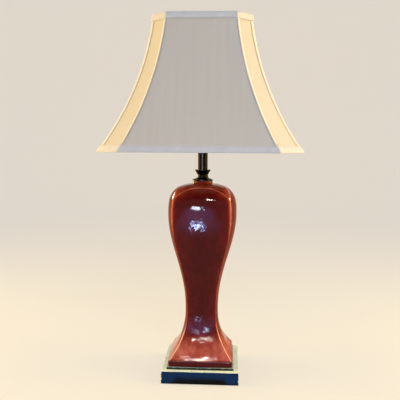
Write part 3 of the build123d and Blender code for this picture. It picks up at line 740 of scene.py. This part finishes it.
# %% A panel of the bell by Geometry Nodes
panel_inputs = {
    "Corner panel": ("Bool", False),
    "Quarter turns": ("Int", 0),
    "Seam gap": ("Float", seam_gap * MM),
    "Tape reach": ("Float", tape_wide * MM),
    "Steps across": ("Int", 40),
    "Steps along": ("Int", 90),
    "Thickness": ("Float", cover_thickness * MM),
}
panel_tree, given = new_tree("bell_panel", panel_inputs | bell_inputs)
tree = panel_tree
steps = {"Vertices X": given["Steps across"], "Vertices Y": given["Steps along"]}
grid = add(tree, "GeometryNodeMeshGrid", {"Size X": 1.0, "Size Y": 1.0} | steps)
place = add(tree, "GeometryNodeInputPosition")
across, along, _ = add(tree, SEPARATE, place).outputs
from_low = add(tree, PLUS, along, 0.5)
height, half, short, cut = bell_section(tree, given, from_low)

# %% The two kinds of panel, and the turn to its side
gap_off = add(tree, TIMES, given["Seam gap"], -1.0)
wide_run = add(tree, TIMES_PLUS, short, 2.0, gap_off)
wide_x = add(tree, TIMES, across, wide_run)
wide_y = add(tree, TIMES, half, -1.0)
wide = add(tree, COMBINE, wide_x, wide_y, height)
narrow_run = add(tree, TIMES_PLUS, cut, sqrt(2), gap_off)
narrow_x = add(tree, TIMES, across, narrow_run)
both_halves = add(tree, PLUS, short, half)
narrow_y = add(tree, TIMES, both_halves, -sqrt(0.5))
facing_front = add(tree, COMBINE, narrow_x, narrow_y, height)
narrow = add(tree, TURN, {"Vector": facing_front, "Angle": pi / 4})
choice = {"Switch": given["Corner panel"], "False": wide, "True": narrow}
chosen = add(tree, "GeometryNodeSwitch", choice, input_type="VECTOR")
angle = add(tree, TIMES, given["Quarter turns"], pi / 2)
turned = add(tree, TURN, {"Vector": chosen, "Angle": angle})
choice = {"Switch": given["Corner panel"], "False": wide_run, "True": narrow_run}
run_across = add(tree, "GeometryNodeSwitch", choice, input_type="FLOAT")
flat_x = add(tree, TIMES, across, run_across)
flat = add(tree, COMBINE, flat_x, height, given["Quarter turns"])
off_middle = add(tree, UNSIGNED, across)
to_seam = add(tree, MINUS, 0.5, off_middle)
from_seam = add(tree, TIMES, to_seam, run_across)
from_tape = add(tree, MINUS, from_seam, given["Tape reach"])

# %% The panel's skin
marked = keep(tree, grid, "cloth", flat, "FLOAT_VECTOR")
measured = keep(tree, marked, "from_tape", from_tape, "FLOAT")
bent = add(tree, "GeometryNodeSetPosition", {"Geometry": measured, "Position": turned})
inward = add(tree, TIMES, given["Thickness"], -1.0)
inner = add(tree, "GeometryNodeExtrudeMesh", {"Mesh": bent, "Offset Scale": inward, "Individual": False})
outer = add(tree, "GeometryNodeFlipFaces", {"Mesh": bent})
both = add(tree, "GeometryNodeJoinGeometry", inner)
wire(tree, both, {0: outer})
merged = add(tree, "GeometryNodeMergeByDistance", {0: both, "Distance": 0.01 * MM})
out = add(tree, "GeometryNodeFlipFaces", {"Mesh": merged})
smooth = add(tree, "GeometryNodeSetShadeSmooth", {"Geometry": out})
finish_tree(tree, smooth)
print("panel tree", len(tree.nodes), "nodes")

# %% [markdown]
# **Stretched shantung, ivory.** The cover is a plain-woven silky fabric with a faint slub. Its real
# threads are about a third of a millimetre apart, too fine to show, so the weave is drawn at one
# millimetre. The slubs run along the weft as long soft streaks. Light soaks through a little, so the
# shader is part translucent, and a low sheen pales it at the edges.

# %% Woven fabric
# colour and strength of the painted shadow that the tapes seem to throw on the cover
tape_shadow_hex, tape_shadow_depth = "75644a", 0.55


def woven(name, hex_value, slub_hex, thread, sheen, through, bias, tape_shadow=0):
    """A plain weave over the cloth attribute, turned by the bias in degrees, with painted shade by the tapes.
    """
    sheens = {"Sheen_Weight": sheen, "Sheen_Roughness": 0.4}
    material, tree, shader = new_material(name, Roughness=0.85, Specular_IOR_Level=0.25, **sheens)
    on_piece = add(tree, ATTRIBUTE, attribute_name="cloth").outputs["Vector"]
    cloth = add(tree, MAPPING, {"Vector": on_piece, "Rotation": (0, 0, radians(bias))})
    streak = add(tree, MAPPING, {"Vector": cloth, "Scale": (1.0, 0.04, 1.0)})
    slub = add(tree, NOISE, {"Vector": streak, "Scale": per_metre(11), "Detail": 3.0})
    soft = add(tree, RANGE, {"Value": slub, "From Min": 0.35, "From Max": 0.75})
    shown = add(tree, MIX, {"Factor": soft, "A": colour(hex_value), "B": colour(slub_hex)})
    # painted shadow: within a width of the tape's edge the cloth darkens towards a brown, as if shaded by the
    # tape
    if tape_shadow:
        from_tape = add(tree, ATTRIBUTE, attribute_name="from_tape").outputs["Fac"]
        fading = {"From Max": tape_shadow * MM, "To Min": tape_shadow_depth, "To Max": 0.0}
        near_tape = add(tree, RANGE, {"Value": from_tape} | fading)
        shown = add(tree, MIX, {"Factor": near_tape, "A": shown, "B": colour(tape_shadow_hex)})
    waves = []
    for direction in ("X", "Y"):
        threads = {"Vector": cloth, "Scale": per_metre(thread) / 20, "Distortion": 0.0}
        wave = add(tree, "ShaderNodeTexWave", threads, bands_direction=direction)
        waves.append(wave.outputs["Fac"])
    weave = add(tree, LARGER, waves[0], waves[1])
    raised = add(tree, PLUS, weave, slub)
    bump = add(tree, BUMP, {"Height": raised, "Strength": 0.12, "Distance": 0.15 * MM})
    wire(tree, shader, {"Base Color": shown, "Normal": bump})
    glow = add(tree, "ShaderNodeBsdfTranslucent", {"Color": shown})
    both = add(tree, MIX_SHADERS, through, shader, glow)
    wire(tree, tree.nodes["Material Output"], {"Surface": both})
    return material


shantung = woven("silk_shantung_woven", "e5dccd", "e1d8c9", 1.0, 0.25, 0.15, 0, tape_shadow_width)
print("fabric", shantung.name)

# %% Shade panels
rows_along, wide_steps, narrow_steps = 90, 60, 20


def slant(corner_panel):
    """Length of the cloth along a panel's middle, and the flat area of the panel, in mm and square mm."""
    length, area, steps = 0, 0, 200
    for i in range(steps):
        low, high = (shade_low + drop * j / steps for j in (i, i + 1))
        widths, leans = [], []
        for height in (low, high):
            half, cut = bell_half(height), bell_cut(height)
            widths.append(cut * sqrt(2) if corner_panel else 2 * (half - cut))
            leans.append((2 * half - cut) / sqrt(2) if corner_panel else half)
        step = sqrt((high - low) ** 2 + (leans[0] - leans[1]) ** 2)
        length += step
        area += step * sum(widths) / 2
    return length, area


shade_panels = []
for number, side in enumerate(shade_nodes):
    on_corner = number % 2 == 1
    values = {"Corner panel": on_corner, "Quarter turns": number // 2, "Material": shantung}
    values |= {"Steps across": narrow_steps if on_corner else wide_steps, "Steps along": rows_along}
    # on a wide panel the painted shadow starts 1.4 mm outside its edge, so only its faint end shows
    values["Tape reach"] = (tape_corner if on_corner else wide_tape_shadow_start) * MM
    panel = bake(panel_tree, f"cover_{side}", values)
    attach(panel, "shade")
    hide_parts(f"shade_panel_{side}")
    shade_panels.append(panel)
print("panels", [len(panel.data.polygons) for panel in shade_panels], "slant", round(slant(False)[0]))

# %% [markdown]
# Each panel's flat size is worked out as for a sheet of cloth. The panel is cut with curved sides, so its
# flat area is summed up the slope from the same rule, and its width and length are the widest and the
# longest.

for number, panel in enumerate(shade_panels):
    length, area = slant(number % 2 == 1)
    widest = bell_cut(shade_low) * sqrt(2) if number % 2 else 2 * (bottom_half - bottom_cut)
    flat = (widest * MM, length * MM)
    if number < 2:
        print(panel.name, [round(v / MM, 1) for v in flat], "mm, area", round(area / 100), "square cm")

# %% [markdown]
# ## Lining and trims
# The lining is one sewn ring inside the ribs. Each trim is a strip cut on the bias, folded over an
# edge of the cover with a thin cord in its fold. All three follow the shade's section, so one
# function sweeps a closed profile of heights and distances outward round the eight sides. The
# weave's coordinates are kept on the face corners, so they don't run backwards at the closing seam.

# %% A band round the shade
corner_fold = 1.5
pucker_lengths = 6.1, 3.7


def ring_points(height, outward, wide_count, narrow_count):
    """Points round the shade's section, with each corner folded round."""
    corners = [Vector(corner) for corner in bell_corners(height, outward)]
    points = []
    for k in range(8):
        here, ahead, after = corners[k], corners[(k + 1) % 8], corners[(k + 2) % 8]
        fold = (ahead - here).normalized() * corner_fold
        start, end = here + fold, ahead - fold
        count = narrow_count if k % 2 else wide_count
        points += [start.lerp(end, i / count) for i in range(count + 1)]
        points.append((end + 2 * ahead + ahead + (after - ahead).normalized() * corner_fold) / 4)
    return points


def sewn_band(name, profile, wide_count, narrow_count, material, pucker=0):
    """Sweep a closed profile of (height, outward, share of the pucker) round the shade's sides."""
    rows = [ring_points(height, outward, wide_count, narrow_count) for height, outward, _ in profile]
    columns = len(rows[0])
    runs = [0]
    for here, ahead in zip(rows[0], rows[0][1:] + rows[0][:1]):
        runs.append(runs[-1] + (ahead - here).length)
    climbs = [0]
    for low, high in zip(profile, profile[1:] + profile[:1]):
        climbs.append(climbs[-1] + sqrt((low[0] - high[0]) ** 2 + (low[1] - high[1]) ** 2))
    points = []
    for (height, _, share), row in zip(profile, rows):
        for place, x in zip(row, runs):
            puff = pucker * share * (sin(x / pucker_lengths[0] + height) + sin(x / pucker_lengths[1])) / 2
            out = place * (1 + puff / place.length)
            points.append((out.x, out.y, height))
    faces, cloth = [], []
    for r in range(len(rows)):
        for c in range(columns):
            d = (c + 1) % columns
            low, high = r * columns, (r + 1) % len(rows) * columns
            faces.append((low + c, low + d, high + d, high + c))
            for x, y in ((c, r), (c + 1, r), (c + 1, r + 1), (c, r + 1)):
                cloth += [runs[x] * MM, climbs[y] * MM, 0]
    band = add_piece(name, points, faces)
    weave = band.data.attributes.new("cloth", "FLOAT_VECTOR", "CORNER")
    weave.data.foreach_set("vector", cloth)
    band.data.materials.append(material)
    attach(band, "shade")
    return band


print("points in a ring", len(ring_points(shade_low, 0, 40, 10)))

# %% Lining
bottom_slope = sqrt(2) * (bell_half(shade_low) - bell_half(shade_low + 1))
bottom_slope -= (bell_cut(shade_low) - bell_cut(shade_low + 1)) / sqrt(2)
lean = sqrt(1 + bottom_slope**2)
lining_margin = 5
lining_inset = cover_thickness + 2 * (rib_radius + fabric_clearance) * lean
lining_low, lining_high = shade_low + lining_margin, shade_high - lining_margin
lining_rows = 60
lining_heights = [lining_low + (lining_high - lining_low) * i / lining_rows for i in range(lining_rows + 1)]
lining_profile = [(height, -lining_inset, 0) for height in lining_heights]
lining_profile += [(height, -lining_inset - lining_thickness, 0) for height in reversed(lining_heights)]
satin = woven("acetate_satin_lining", "efe9dd", "e6dfd1", 0.8, 0.35, 0.25, 0)
lining = sewn_band("lining", lining_profile, 40, 10, satin)
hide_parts("shade_lining")

lining_rings = [ring_points(height, -lining_inset, 1, 1) for height in lining_heights]
for lower, upper in zip(lining_rings, lining_rings[1:]):
    for k in range(len(lower)):
        (a, b), (c, d) = [(ring[k].to_3d(), ring[(k + 1) % len(ring)].to_3d()) for ring in (lower, upper)]
        c.z = d.z = (lining_high - lining_low) / lining_rows
lining_length = slant(False)[0] * (lining_high - lining_low) / drop

# %% Top and bottom trims
# each point is a height, a distance outward and a share of the pucker
bias_shantung = woven("silk_shantung_bias", "e6e2df", "dfdbd7", 1.0, 0.3, 0.1, 45)
bottom_trim_shape = [(0, 0.9, 0), (0.4, 1.7, 0), (1.8, 2.5, 0.6), (4.6, 2.9, 1), (8.2, 2.9, 1)]
bottom_trim_shape += [(10.6, 2.5, 0.6), (11.7, 1.7, 0), (12.2, 2.3, 0), (13.0, 2.9, 0), (13.9, 2.7, 0)]
bottom_trim_shape += [(14.3, 1.8, 0), (14.1, 0.8, 0), (13.4, 0.3, 0), (7, 0.3, 0), (0.8, 0.3, 0)]
bottom_trim_shape.append((0.2, 0.45, 0))
top_trim_shape = [(0.2, 0.45, 0), (0, 0.9, 0), (0.3, 1.6, 0), (1.2, 2.1, 0.3), (3.4, 2.6, 1), (7.6, 2.7, 1)]
top_trim_shape += [(10.2, 2.3, 0.5), (11.2, 1.6, 0), (11.7, 2.2, 0), (12.5, 2.7, 0), (13.4, 2.4, 0)]
top_trim_shape += [(13.8, 1.6, 0), (13.6, 0.8, 0), (12.9, 0.3, 0), (7, 0.3, 0), (0.8, 0.3, 0)]
trims = []
for where, base, shape in (
    ("bottom", shade_low - trim_lap, bottom_trim_shape),
    ("top", shade_high - trim_height, top_trim_shape),
):
    profile = [(base + height, outward, share) for height, outward, share in shape]
    trim = sewn_band(f"trim_{where}", profile, 100, 24, bias_shantung, 0.25)
    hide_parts(f"shade_{where}_trim")
    trims.append(trim)
print("trims", [len(trim.data.polygons) for trim in trims])

# %% [markdown]
# ## Seam tapes
# A folded bias strip covers each seam. Most of it lies on the corner panel, and a narrow lip turns
# over the corner onto the wide one. It follows the same bell, so a second tree reuses the rule: it
# bends a closed tube into a flat strip along the front panel's two corners, and four quarter turns
# copy the pair to the other sides. Each point is a distance along the cover and a lift off it.

# %% Seam tape by Geometry Nodes
tape_inputs = {
    "On corner panel": ("Float", tape_corner * MM),
    "On wide panel": ("Float", tape_wide * MM),
    "Thickness": ("Float", tape_thickness * MM),
    "Clearance": ("Float", fabric_clearance * MM),
    "Steps": ("Int", 60),
    "Sides": ("Int", 16),
}
tape_tree, given = new_tree("seam_tape", tape_inputs | bell_inputs)
tree = tape_tree
steps = {"Vertices": given["Sides"], "Side Segments": given["Steps"], "Radius": 1.0, "Depth": 1.0}
tube = add(tree, "GeometryNodeMeshCylinder", steps, fill_type="NGON")
place = add(tree, "GeometryNodeInputPosition")
across, through, up = add(tree, SEPARATE, place).outputs
along = add(tree, PLUS, up, 0.5)
half_thick = add(tree, TIMES, given["Thickness"], 0.5)
middle = add(tree, PLUS, given["Clearance"], half_thick)
inward = add(tree, TIMES, half_thick, -1.0)
lift = add(tree, TIMES_PLUS, through, inward, middle)
rule = {label: given[label] for label in bell_inputs} | {"Outward": lift}
height, half, short, cut = bell_section(tree, rule, along)
reach_sum = add(tree, PLUS, given["On corner panel"], given["On wide panel"])
half_width = add(tree, TIMES, reach_sum, 0.5)
shift = add(tree, MINUS, given["On wide panel"], half_width)

# %% The two corners of the front panel, and the quarter turns
front_y = add(tree, TIMES, half, -1.0)
climb = add(tree, TIMES, height, lean)
seams = add(tree, "GeometryNodeJoinGeometry")
for side in (-1.0, 1.0):
    turned_width = add(tree, TIMES, half_width, -side)
    run = add(tree, TIMES_PLUS, across, turned_width, shift)
    on_wide = add(tree, LARGER, run, 0.0)
    on_corner = add(tree, SMALLER, run, 0.0)
    inset = add(tree, TIMES_PLUS, on_corner, sqrt(0.5), on_wide)
    out_x = add(tree, MINUS, short, inset)
    x = add(tree, TIMES, out_x, side)
    y = add(tree, TIMES_PLUS, on_corner, -sqrt(0.5), front_y)
    corner = add(tree, COMBINE, x, y, height)
    flat = add(tree, COMBINE, run, climb)
    marked = keep(tree, tube.outputs[0], "cloth", flat, "FLOAT_VECTOR")
    seam = add(tree, "GeometryNodeSetPosition", {"Geometry": marked, "Position": corner})
    wire(tree, seams, {0: seam})
smooth = add(tree, "GeometryNodeSetShadeSmooth", {"Geometry": seams})
four = add(tree, "GeometryNodeMeshLine", {"Count": 4, "Offset": (0, 0, 0)})
index = add(tree, "GeometryNodeInputIndex")
quarters = add(tree, TIMES, index, pi / 2)
angle = add(tree, COMBINE, {2: quarters})
turned = add(tree, "GeometryNodeInstanceOnPoints", {"Points": four, "Instance": smooth, "Rotation": angle})
finish_tree(tree, turned)
print("tape tree", len(tree.nodes), "nodes")

# %% Tapes on the eight seams
tape_gap = 0.1
tape_low = shade_low - trim_lap + max(height for height, _, _ in bottom_trim_shape) + tape_gap
tape_high = shade_high - trim_height - tape_gap
tape_silk = woven("silk_tape_folded", "f6f0e4", "eee8dc", 1.0, 0.3, 0.1, 45)
tape_values = {"Low": tape_low * MM, "High": tape_high * MM, "Material": tape_silk}
tapes = bake(tape_tree, "seam_tapes", tape_values)
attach(tapes, "shade")
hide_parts("shade_piping")
print("tapes", len(tapes.data.polygons), "faces")

# %% [markdown]
# ## Felt under the plinth
# A square of pressed wool felt keeps the lamp from scratching the table. Its edge is cut with
# shears, so it wanders a little, and its skin is matted fibre. It is laid flat, so it needs no
# simulation, only a thin closed slab with soft edges. Its colour is a grain of two close greys, and
# the bulb's glass and the moulded pieces further on take their own grains from the same function.

# %% Felt pad
felt_half = box_mm("felt_pad")[1].x
felt_corner, felt_corner_steps, felt_side_steps = 4, 6, 60
felt_rows = ((0, 0.7), (0.35, 0.15), (1.15, 0.15), (1.5, 0.7))
shear_waves = ((0.12, 1.7), (0.1, 0.61))


def rounded_square(half, radius, steps, side_count):
    """Points of a square with round corners, counter-clockwise from the front left."""
    points, flat = [], half - radius
    for quarter in range(4):
        turn = Matrix.Rotation(quarter * pi / 2, 2)
        points += [turn @ Vector((-flat + 2 * flat * i / side_count, -half)) for i in range(side_count)]
        for i in range(steps):
            angle = pi / 2 * i / steps
            points.append(turn @ Vector((flat + radius * sin(angle), -flat - radius * cos(angle))))
    return points


felt_outline = rounded_square(felt_half, felt_corner, felt_corner_steps, felt_side_steps)
felt_points = []
for height, inset in felt_rows:
    for i, place in enumerate(felt_outline):
        wander = sum(depth * sin(i * pace) for depth, pace in shear_waves)
        shrink = 1 - (inset + wander) / felt_half
        felt_points.append((place.x * shrink, place.y * shrink, height))
felt_count = len(felt_outline)
last_row = (len(felt_rows) - 1) * felt_count
felt_faces = [tuple(reversed(range(felt_count))), tuple(range(last_row, last_row + felt_count))]
for low in range(0, last_row, felt_count):
    for i in range(felt_count):
        j = (i + 1) % felt_count
        felt_faces.append((low + i, low + j, low + felt_count + j, low + felt_count + i))
felt = add_piece("felt", felt_points, felt_faces, smooth=False)


# %% Wool felt, and the recipe for a grained material
def grained(name, hexes, grit, detail, turn, bump, **values):
    """Two colours in a grain of a size in mm, the noise's shares where one turns to the other, a bump."""
    material, tree, shader = new_material(name, **values)
    place = add(tree, COORDINATES).outputs["Object"]
    grain = add(tree, NOISE, {"Vector": place, "Scale": per_metre(grit), "Detail": detail})
    fleck = add(tree, RANGE, {"Value": grain, "From Min": turn[0], "From Max": turn[1]})
    skin = add(tree, MIX, {"Factor": fleck, "A": colour(hexes[0]), "B": colour(hexes[1])})
    raised = add(tree, BUMP, {"Height": grain, "Strength": bump[0], "Distance": bump[1] * MM})
    wire(tree, shader, {"Base Color": skin, "Normal": raised})
    return material


wool_look = {"Roughness": 0.95, "Sheen_Weight": 0.6, "Sheen_Roughness": 0.5}
wool = grained("wool_felt_pressed", ("2c2a27", "55514a"), 1.2, 6.0, (0.35, 0.7), (0.6, 0.3), **wool_look)
felt.data.materials.append(wool)
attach(felt, "base")
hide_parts("felt_pad")

# %% [markdown]
# ## Plinth
# ** Rubbed lacquer.** The wooden plinth is black lacquer, brushed and polished, so its upright faces
# are dark and wet-looking. A painted reflection of blue light turns them navy at the top and the
# ends and leaves them black in the lower middle. Its specular level is low for the same reason as the
# glaze's. The flat ledges were left in a pale silvery ground, and the lacquer is rubbed through to it
# along the sharp edges. Height, the face's own normal and the distance to the edges are all it takes
# to say where each one shows.

# %% Rubbed lacquer
reflection_ends_from, reflection_ends_to, reflection_ends_lift = 0.6, 0.75, 0.45
ledge_normal = 0.7
widest_wear = 2.2
worn_hex = "8f8a68"


def rubbed_lacquer(name, half, low, high, reflected_hex, lower_hex, ledge_hex):
    """Lacquer on a square slab of a half width, between two heights, with a painted reflection, a pale ledge
    and worn edges.
    """
    material, tree, shader = new_material(name, Specular_IOR_Level=0.1)
    where = add(tree, COORDINATES).outputs
    place = where["Object"]
    x, y, z = add(tree, SEPARATE, place).outputs
    brush = add(tree, MAPPING, {"Vector": place, "Scale": (0.2, 0.2, 1.0)})
    strokes = add(tree, NOISE, {"Vector": brush, "Scale": per_metre(4), "Detail": 4.0})
    # painted reflection: the upright faces blend from the lower colour to the reflected navy towards the top
    # and the ends
    rise = add(tree, RANGE, {"Value": z, "From Min": low * MM, "From Max": high * MM})
    out_x = add(tree, UNSIGNED, x)
    out_y = add(tree, UNSIGNED, y)
    nearer = add(tree, SMALLER, out_x, out_y)
    reflected_ends = {"Value": nearer, "From Min": reflection_ends_from * half * MM, "From Max": reflection_ends_to * half * MM}
    reflected_ends = add(tree, RANGE, reflected_ends | {"To Max": reflection_ends_lift})
    reflection_share = add(tree, PLUS, rise, reflected_ends)
    reflection_blend = add(tree, TIMES_PLUS, strokes, 0.6, reflection_share)
    navy_reflection = add(tree, RANGE, {"Value": reflection_blend, "From Min": 0.55, "From Max": 1.0})
    paint = add(tree, MIX, {"Factor": navy_reflection, "A": colour(lower_hex), "B": colour(reflected_hex)})

    chips = add(tree, NOISE, {"Vector": place, "Scale": per_metre(7), "Detail": 6.0})
    patch = add(tree, RANGE, {"Value": chips, "From Min": 0.22, "From Max": 0.42})
    ground = add(tree, MIX, {"Factor": patch, "A": colour(worn_hex), "B": colour(ledge_hex)})

    from_corner = add(tree, MINUS, half * MM, nearer)
    from_top = add(tree, MINUS, high * MM, z)
    from_edge = add(tree, SMALLER, from_corner, from_top)
    wear = add(tree, RANGE, {"Value": chips, "From Min": 0.45, "From Max": 0.75, "To Max": widest_wear * MM})
    rubbed = add(tree, LESS, from_edge, wear)
    up = add(tree, SEPARATE, where["Normal"]).outputs[2]
    ledge = add(tree, MORE, up, ledge_normal)
    pale = add(tree, LARGER, rubbed, ledge)
    skin = add(tree, MIX, {"Factor": pale, "A": paint, "B": ground})
    dull = add(tree, RANGE, {"Value": pale, "To Min": 0.2, "To Max": 0.5})
    bump = add(tree, BUMP, {"Height": strokes, "Strength": 0.15, "Distance": 0.2 * MM})
    wire(tree, shader, {"Base Color": skin, "Roughness": dull, "Normal": bump})
    return material


def paint_nodes(material, *names):
    """Give CAD nodes a material."""
    for name in names:
        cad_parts[name].data.materials[0] = material


# each gives the painted reflection's colour, the lacquer's own colour and the ledge's colour
for name, node, hexes in (
    ("black_lacquer_rubbed_navy_reflection", "plinth", ("0b3260", "030406", "e6f7f2")),
    ("grey_lacquer_rubbed", "plinth_step", ("39443a", "20261f", "a3b3b0")),
):
    low, high = box_mm(node)
    paint_nodes(rubbed_lacquer(name, high.x, low.z, high.z, *hexes), node)
    print(node, "is", round(high.z - low.z, 1), "mm high")

# %% [markdown]
# ## Metals
# The neck, its collar, the vase cap and the finial are brass with an oil-rubbed bronze finish: a
# brown-black skin that handling wears through to warmer metal. The harp, its saddle and the lamp
# holder are plain brass, the pipe and its nuts are zinc-plated steel, and the bulb's base is nickel.
# Each metal keeps Blender's own IOR, because the base colour already says how it reflects. Turned
# pieces carry the lathe's fine rings, drawn here about half a millimetre apart so that they show.

# %% Metals
wear_edge, dull_swing = 0.12, 0.08


def turned_metal(name, clean_hex, skin_hex, roughness, patch, worn, rings):
    """A metal whose skin is worn to the clean colour in patches of a size in mm, with lathe rings."""
    material, tree, shader = new_material(name, Metallic=1.0)
    place = add(tree, COORDINATES).outputs["Object"]
    cloud = add(tree, NOISE, {"Vector": place, "Scale": per_metre(patch), "Detail": 5.0})
    wear = add(tree, RANGE, {"Value": cloud, "From Min": worn - wear_edge, "From Max": worn + wear_edge})
    skin = add(tree, MIX, {"Factor": wear, "A": colour(skin_hex), "B": colour(clean_hex)})
    dulls = {"To Min": roughness + dull_swing, "To Max": roughness - dull_swing}
    dull = add(tree, RANGE, {"Value": cloud} | dulls)
    squeezed = add(tree, MAPPING, {"Vector": place, "Scale": (0.02, 0.02, 1.0)})
    grooves = add(tree, NOISE, {"Vector": squeezed, "Scale": per_metre(0.5), "Detail": 2.0})
    bump = add(tree, BUMP, {"Height": grooves, "Strength": rings, "Distance": 0.1 * MM})
    wire(tree, shader, {"Base Color": skin, "Roughness": dull, "Normal": bump})
    return material


bronze = turned_metal("bronze_oil_rubbed", "4d3a28", "171410", 0.24, 14, 0.74, 0.1)
brass = turned_metal("brass_lacquered", "d9b269", "b08d52", 0.24, 12, 0.45, 0.2)
zinc = turned_metal("steel_zinc_plated", "c9cbcc", "a3a6a6", 0.34, 5, 0.5, 0.15)
nickel = turned_metal("brass_nickel_plated", "cfc8bb", "b9b2a4", 0.2, 7, 0.5, 0.1)
paint_nodes(bronze, "vase_cap", "neck_collar", "neck_tube", "finial")
paint_nodes(brass, "centring_ring", "harp_saddle", "holder_cap", "holder_shell", "terminal_screws")
paint_nodes(brass, "screw_shell", "centre_contact", "harp", "harp_crown")
paint_nodes(zinc, "lamp_pipe", "pipe_washer", "pipe_nut", "set_screw", "switch_spindle", "bulb_filament")
paint_nodes(nickel, "bulb_base", "bulb_contact")
print("metals", [metal.name for metal in (bronze, brass, zinc, nickel)])

# %% [markdown]
# ## Plastics, rubber, fibre and enamel
# The switch knob and the cord bushing are moulded black plastic with a fine eggshell grain. The
# gasket is black rubber, the socket's liner is vulcanised fibre, which looks like dense grey-brown
# paper, and its core is brown phenolic with a mineral filler. The shade's wires are white enamel.
# Each is a dielectric with a grain of its own size, so the felt's recipe serves all five.

# %% Moulded, pressed and enamelled materials
moulded = {
    "thermoset_black_moulded": (("17181a", "232426"), 0.38, 0.8, 0.06),
    "rubber_black_moulded": (("1c1b1a", "2a2826"), 0.75, 1.5, 0.1),
    "vulcanised_fibre_grey": (("77685a", "8b7b69"), 0.7, 0.6, 0.08),
    "phenolic_brown_pressed": (("3a2418", "4d3323"), 0.35, 1.0, 0.05),
    "steel_wire_white_enamelled": (("ebe7dd", "dcd6c9"), 0.4, 2.5, 0.12),
}
moulded_nodes = (
    ("cord_bushing", "switch_knob"),
    ("cap_gasket",),
    ("holder_liner",),
    ("holder_core",),
    ("shade_top_ring", "shade_bottom_ring", "shade_ribs", "shade_spider"),
)
for (name, (hexes, roughness, grit, depth)), nodes in zip(moulded.items(), moulded_nodes):
    material = grained(name, hexes, grit, 3.0, (0.45, 0.7), (0.4, depth), Roughness=roughness, IOR=1.5)
    paint_nodes(material, *nodes)
print("moulded", list(moulded))

# %% [markdown]
# **Clear bulb glass.** The envelope is blown soda-lime glass, thin enough to see the stem and the
# filament through it. It transmits nearly all light, has the usual IOR of glass, and its wall is
# never quite even, which a slow bump shows in the reflections.

# %% Bulb glass
glass_look = {"Roughness": 0.02, "IOR": 1.5, "Transmission_Weight": 1.0}
glass = grained("soda_lime_glass_blown", ("f6faf6", "fbfdfb"), 15, 1.0, (0, 1), (0.15, 0.3), **glass_look)
paint_nodes(glass, "bulb_glass", "bulb_stem")
print("glass", glass.name)

# %% [markdown]
# ## Knurled ferrules
# Two small sleeves drop over the harp's legs and lock them to the saddle's posts. They are knurled
# so that fingers can lift them: straight grooves between two plain beads. A sleeve like this could
# be booleaned out of cylinders, but laying out its rows by a formula keeps the grooves clean.

# %% Ferrules
knurl_count, knurl_depth, knurl_steps = 28, 0.3, 4
bead_end, groove_start = 0.12, 0.17
groove_floor = 0.35
ferrule_bore, edge_softness = 3.4, 0.25
ferrule_shares = [0, 0.02, 0.06, 0.1, 0.13, 0.16, 0.2, 0.4, 0.6, 0.8, 0.84, 0.87, 0.9, 0.94, 0.98, 1]


def ferrule_radius(outer, share, angle):
    """Radius of the knurled sleeve at a share of its height and an angle."""
    grooved = smooth_step(min(share, 1 - share), bead_end, groove_start)
    wave = (1 - cos(knurl_count * angle)) / 2
    return outer - knurl_depth * grooved * (groove_floor + (1 - groove_floor) * wave)


def knurled_sleeve(name, node):
    """A closed sleeve in the place of a CAD node, knurled outside."""
    low, high = box_mm(node)
    middle, outer = (low + high) / 2, (high.x - low.x) / 2
    columns = knurl_count * knurl_steps
    rows = [(share, None) for share in ferrule_shares] + [(1, ferrule_bore), (0, ferrule_bore)]
    points, faces = [], []
    for r, (share, bore) in enumerate(rows):
        soft = edge_softness if share in (0, 1) else 0
        for c in range(columns):
            angle = 2 * pi * c / columns
            radius = bore or ferrule_radius(outer, share, angle) - soft
            height = low.z + (high.z - low.z) * share
            points.append((middle.x + radius * cos(angle), middle.y + radius * sin(angle), height))
            d = (c + 1) % columns
            next_row = (r + 1) % len(rows) * columns
            faces.append((r * columns + c, r * columns + d, next_row + d, next_row + c))
    sleeve = add_piece(name, points, faces)
    sleeve.data.materials.append(brass)
    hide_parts(node)
    return sleeve


for side in ("left", "right"):
    sleeve = knurled_sleeve(f"ferrule_{side}", f"harp_ferrule_{side}")
    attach(sleeve, f"ferrule_{side}")
print("ferrule", len(sleeve.data.polygons), "faces")

# %% CAD box as lists
cad_low, cad_high = [list(v) for v in (cad_low, cad_high)]
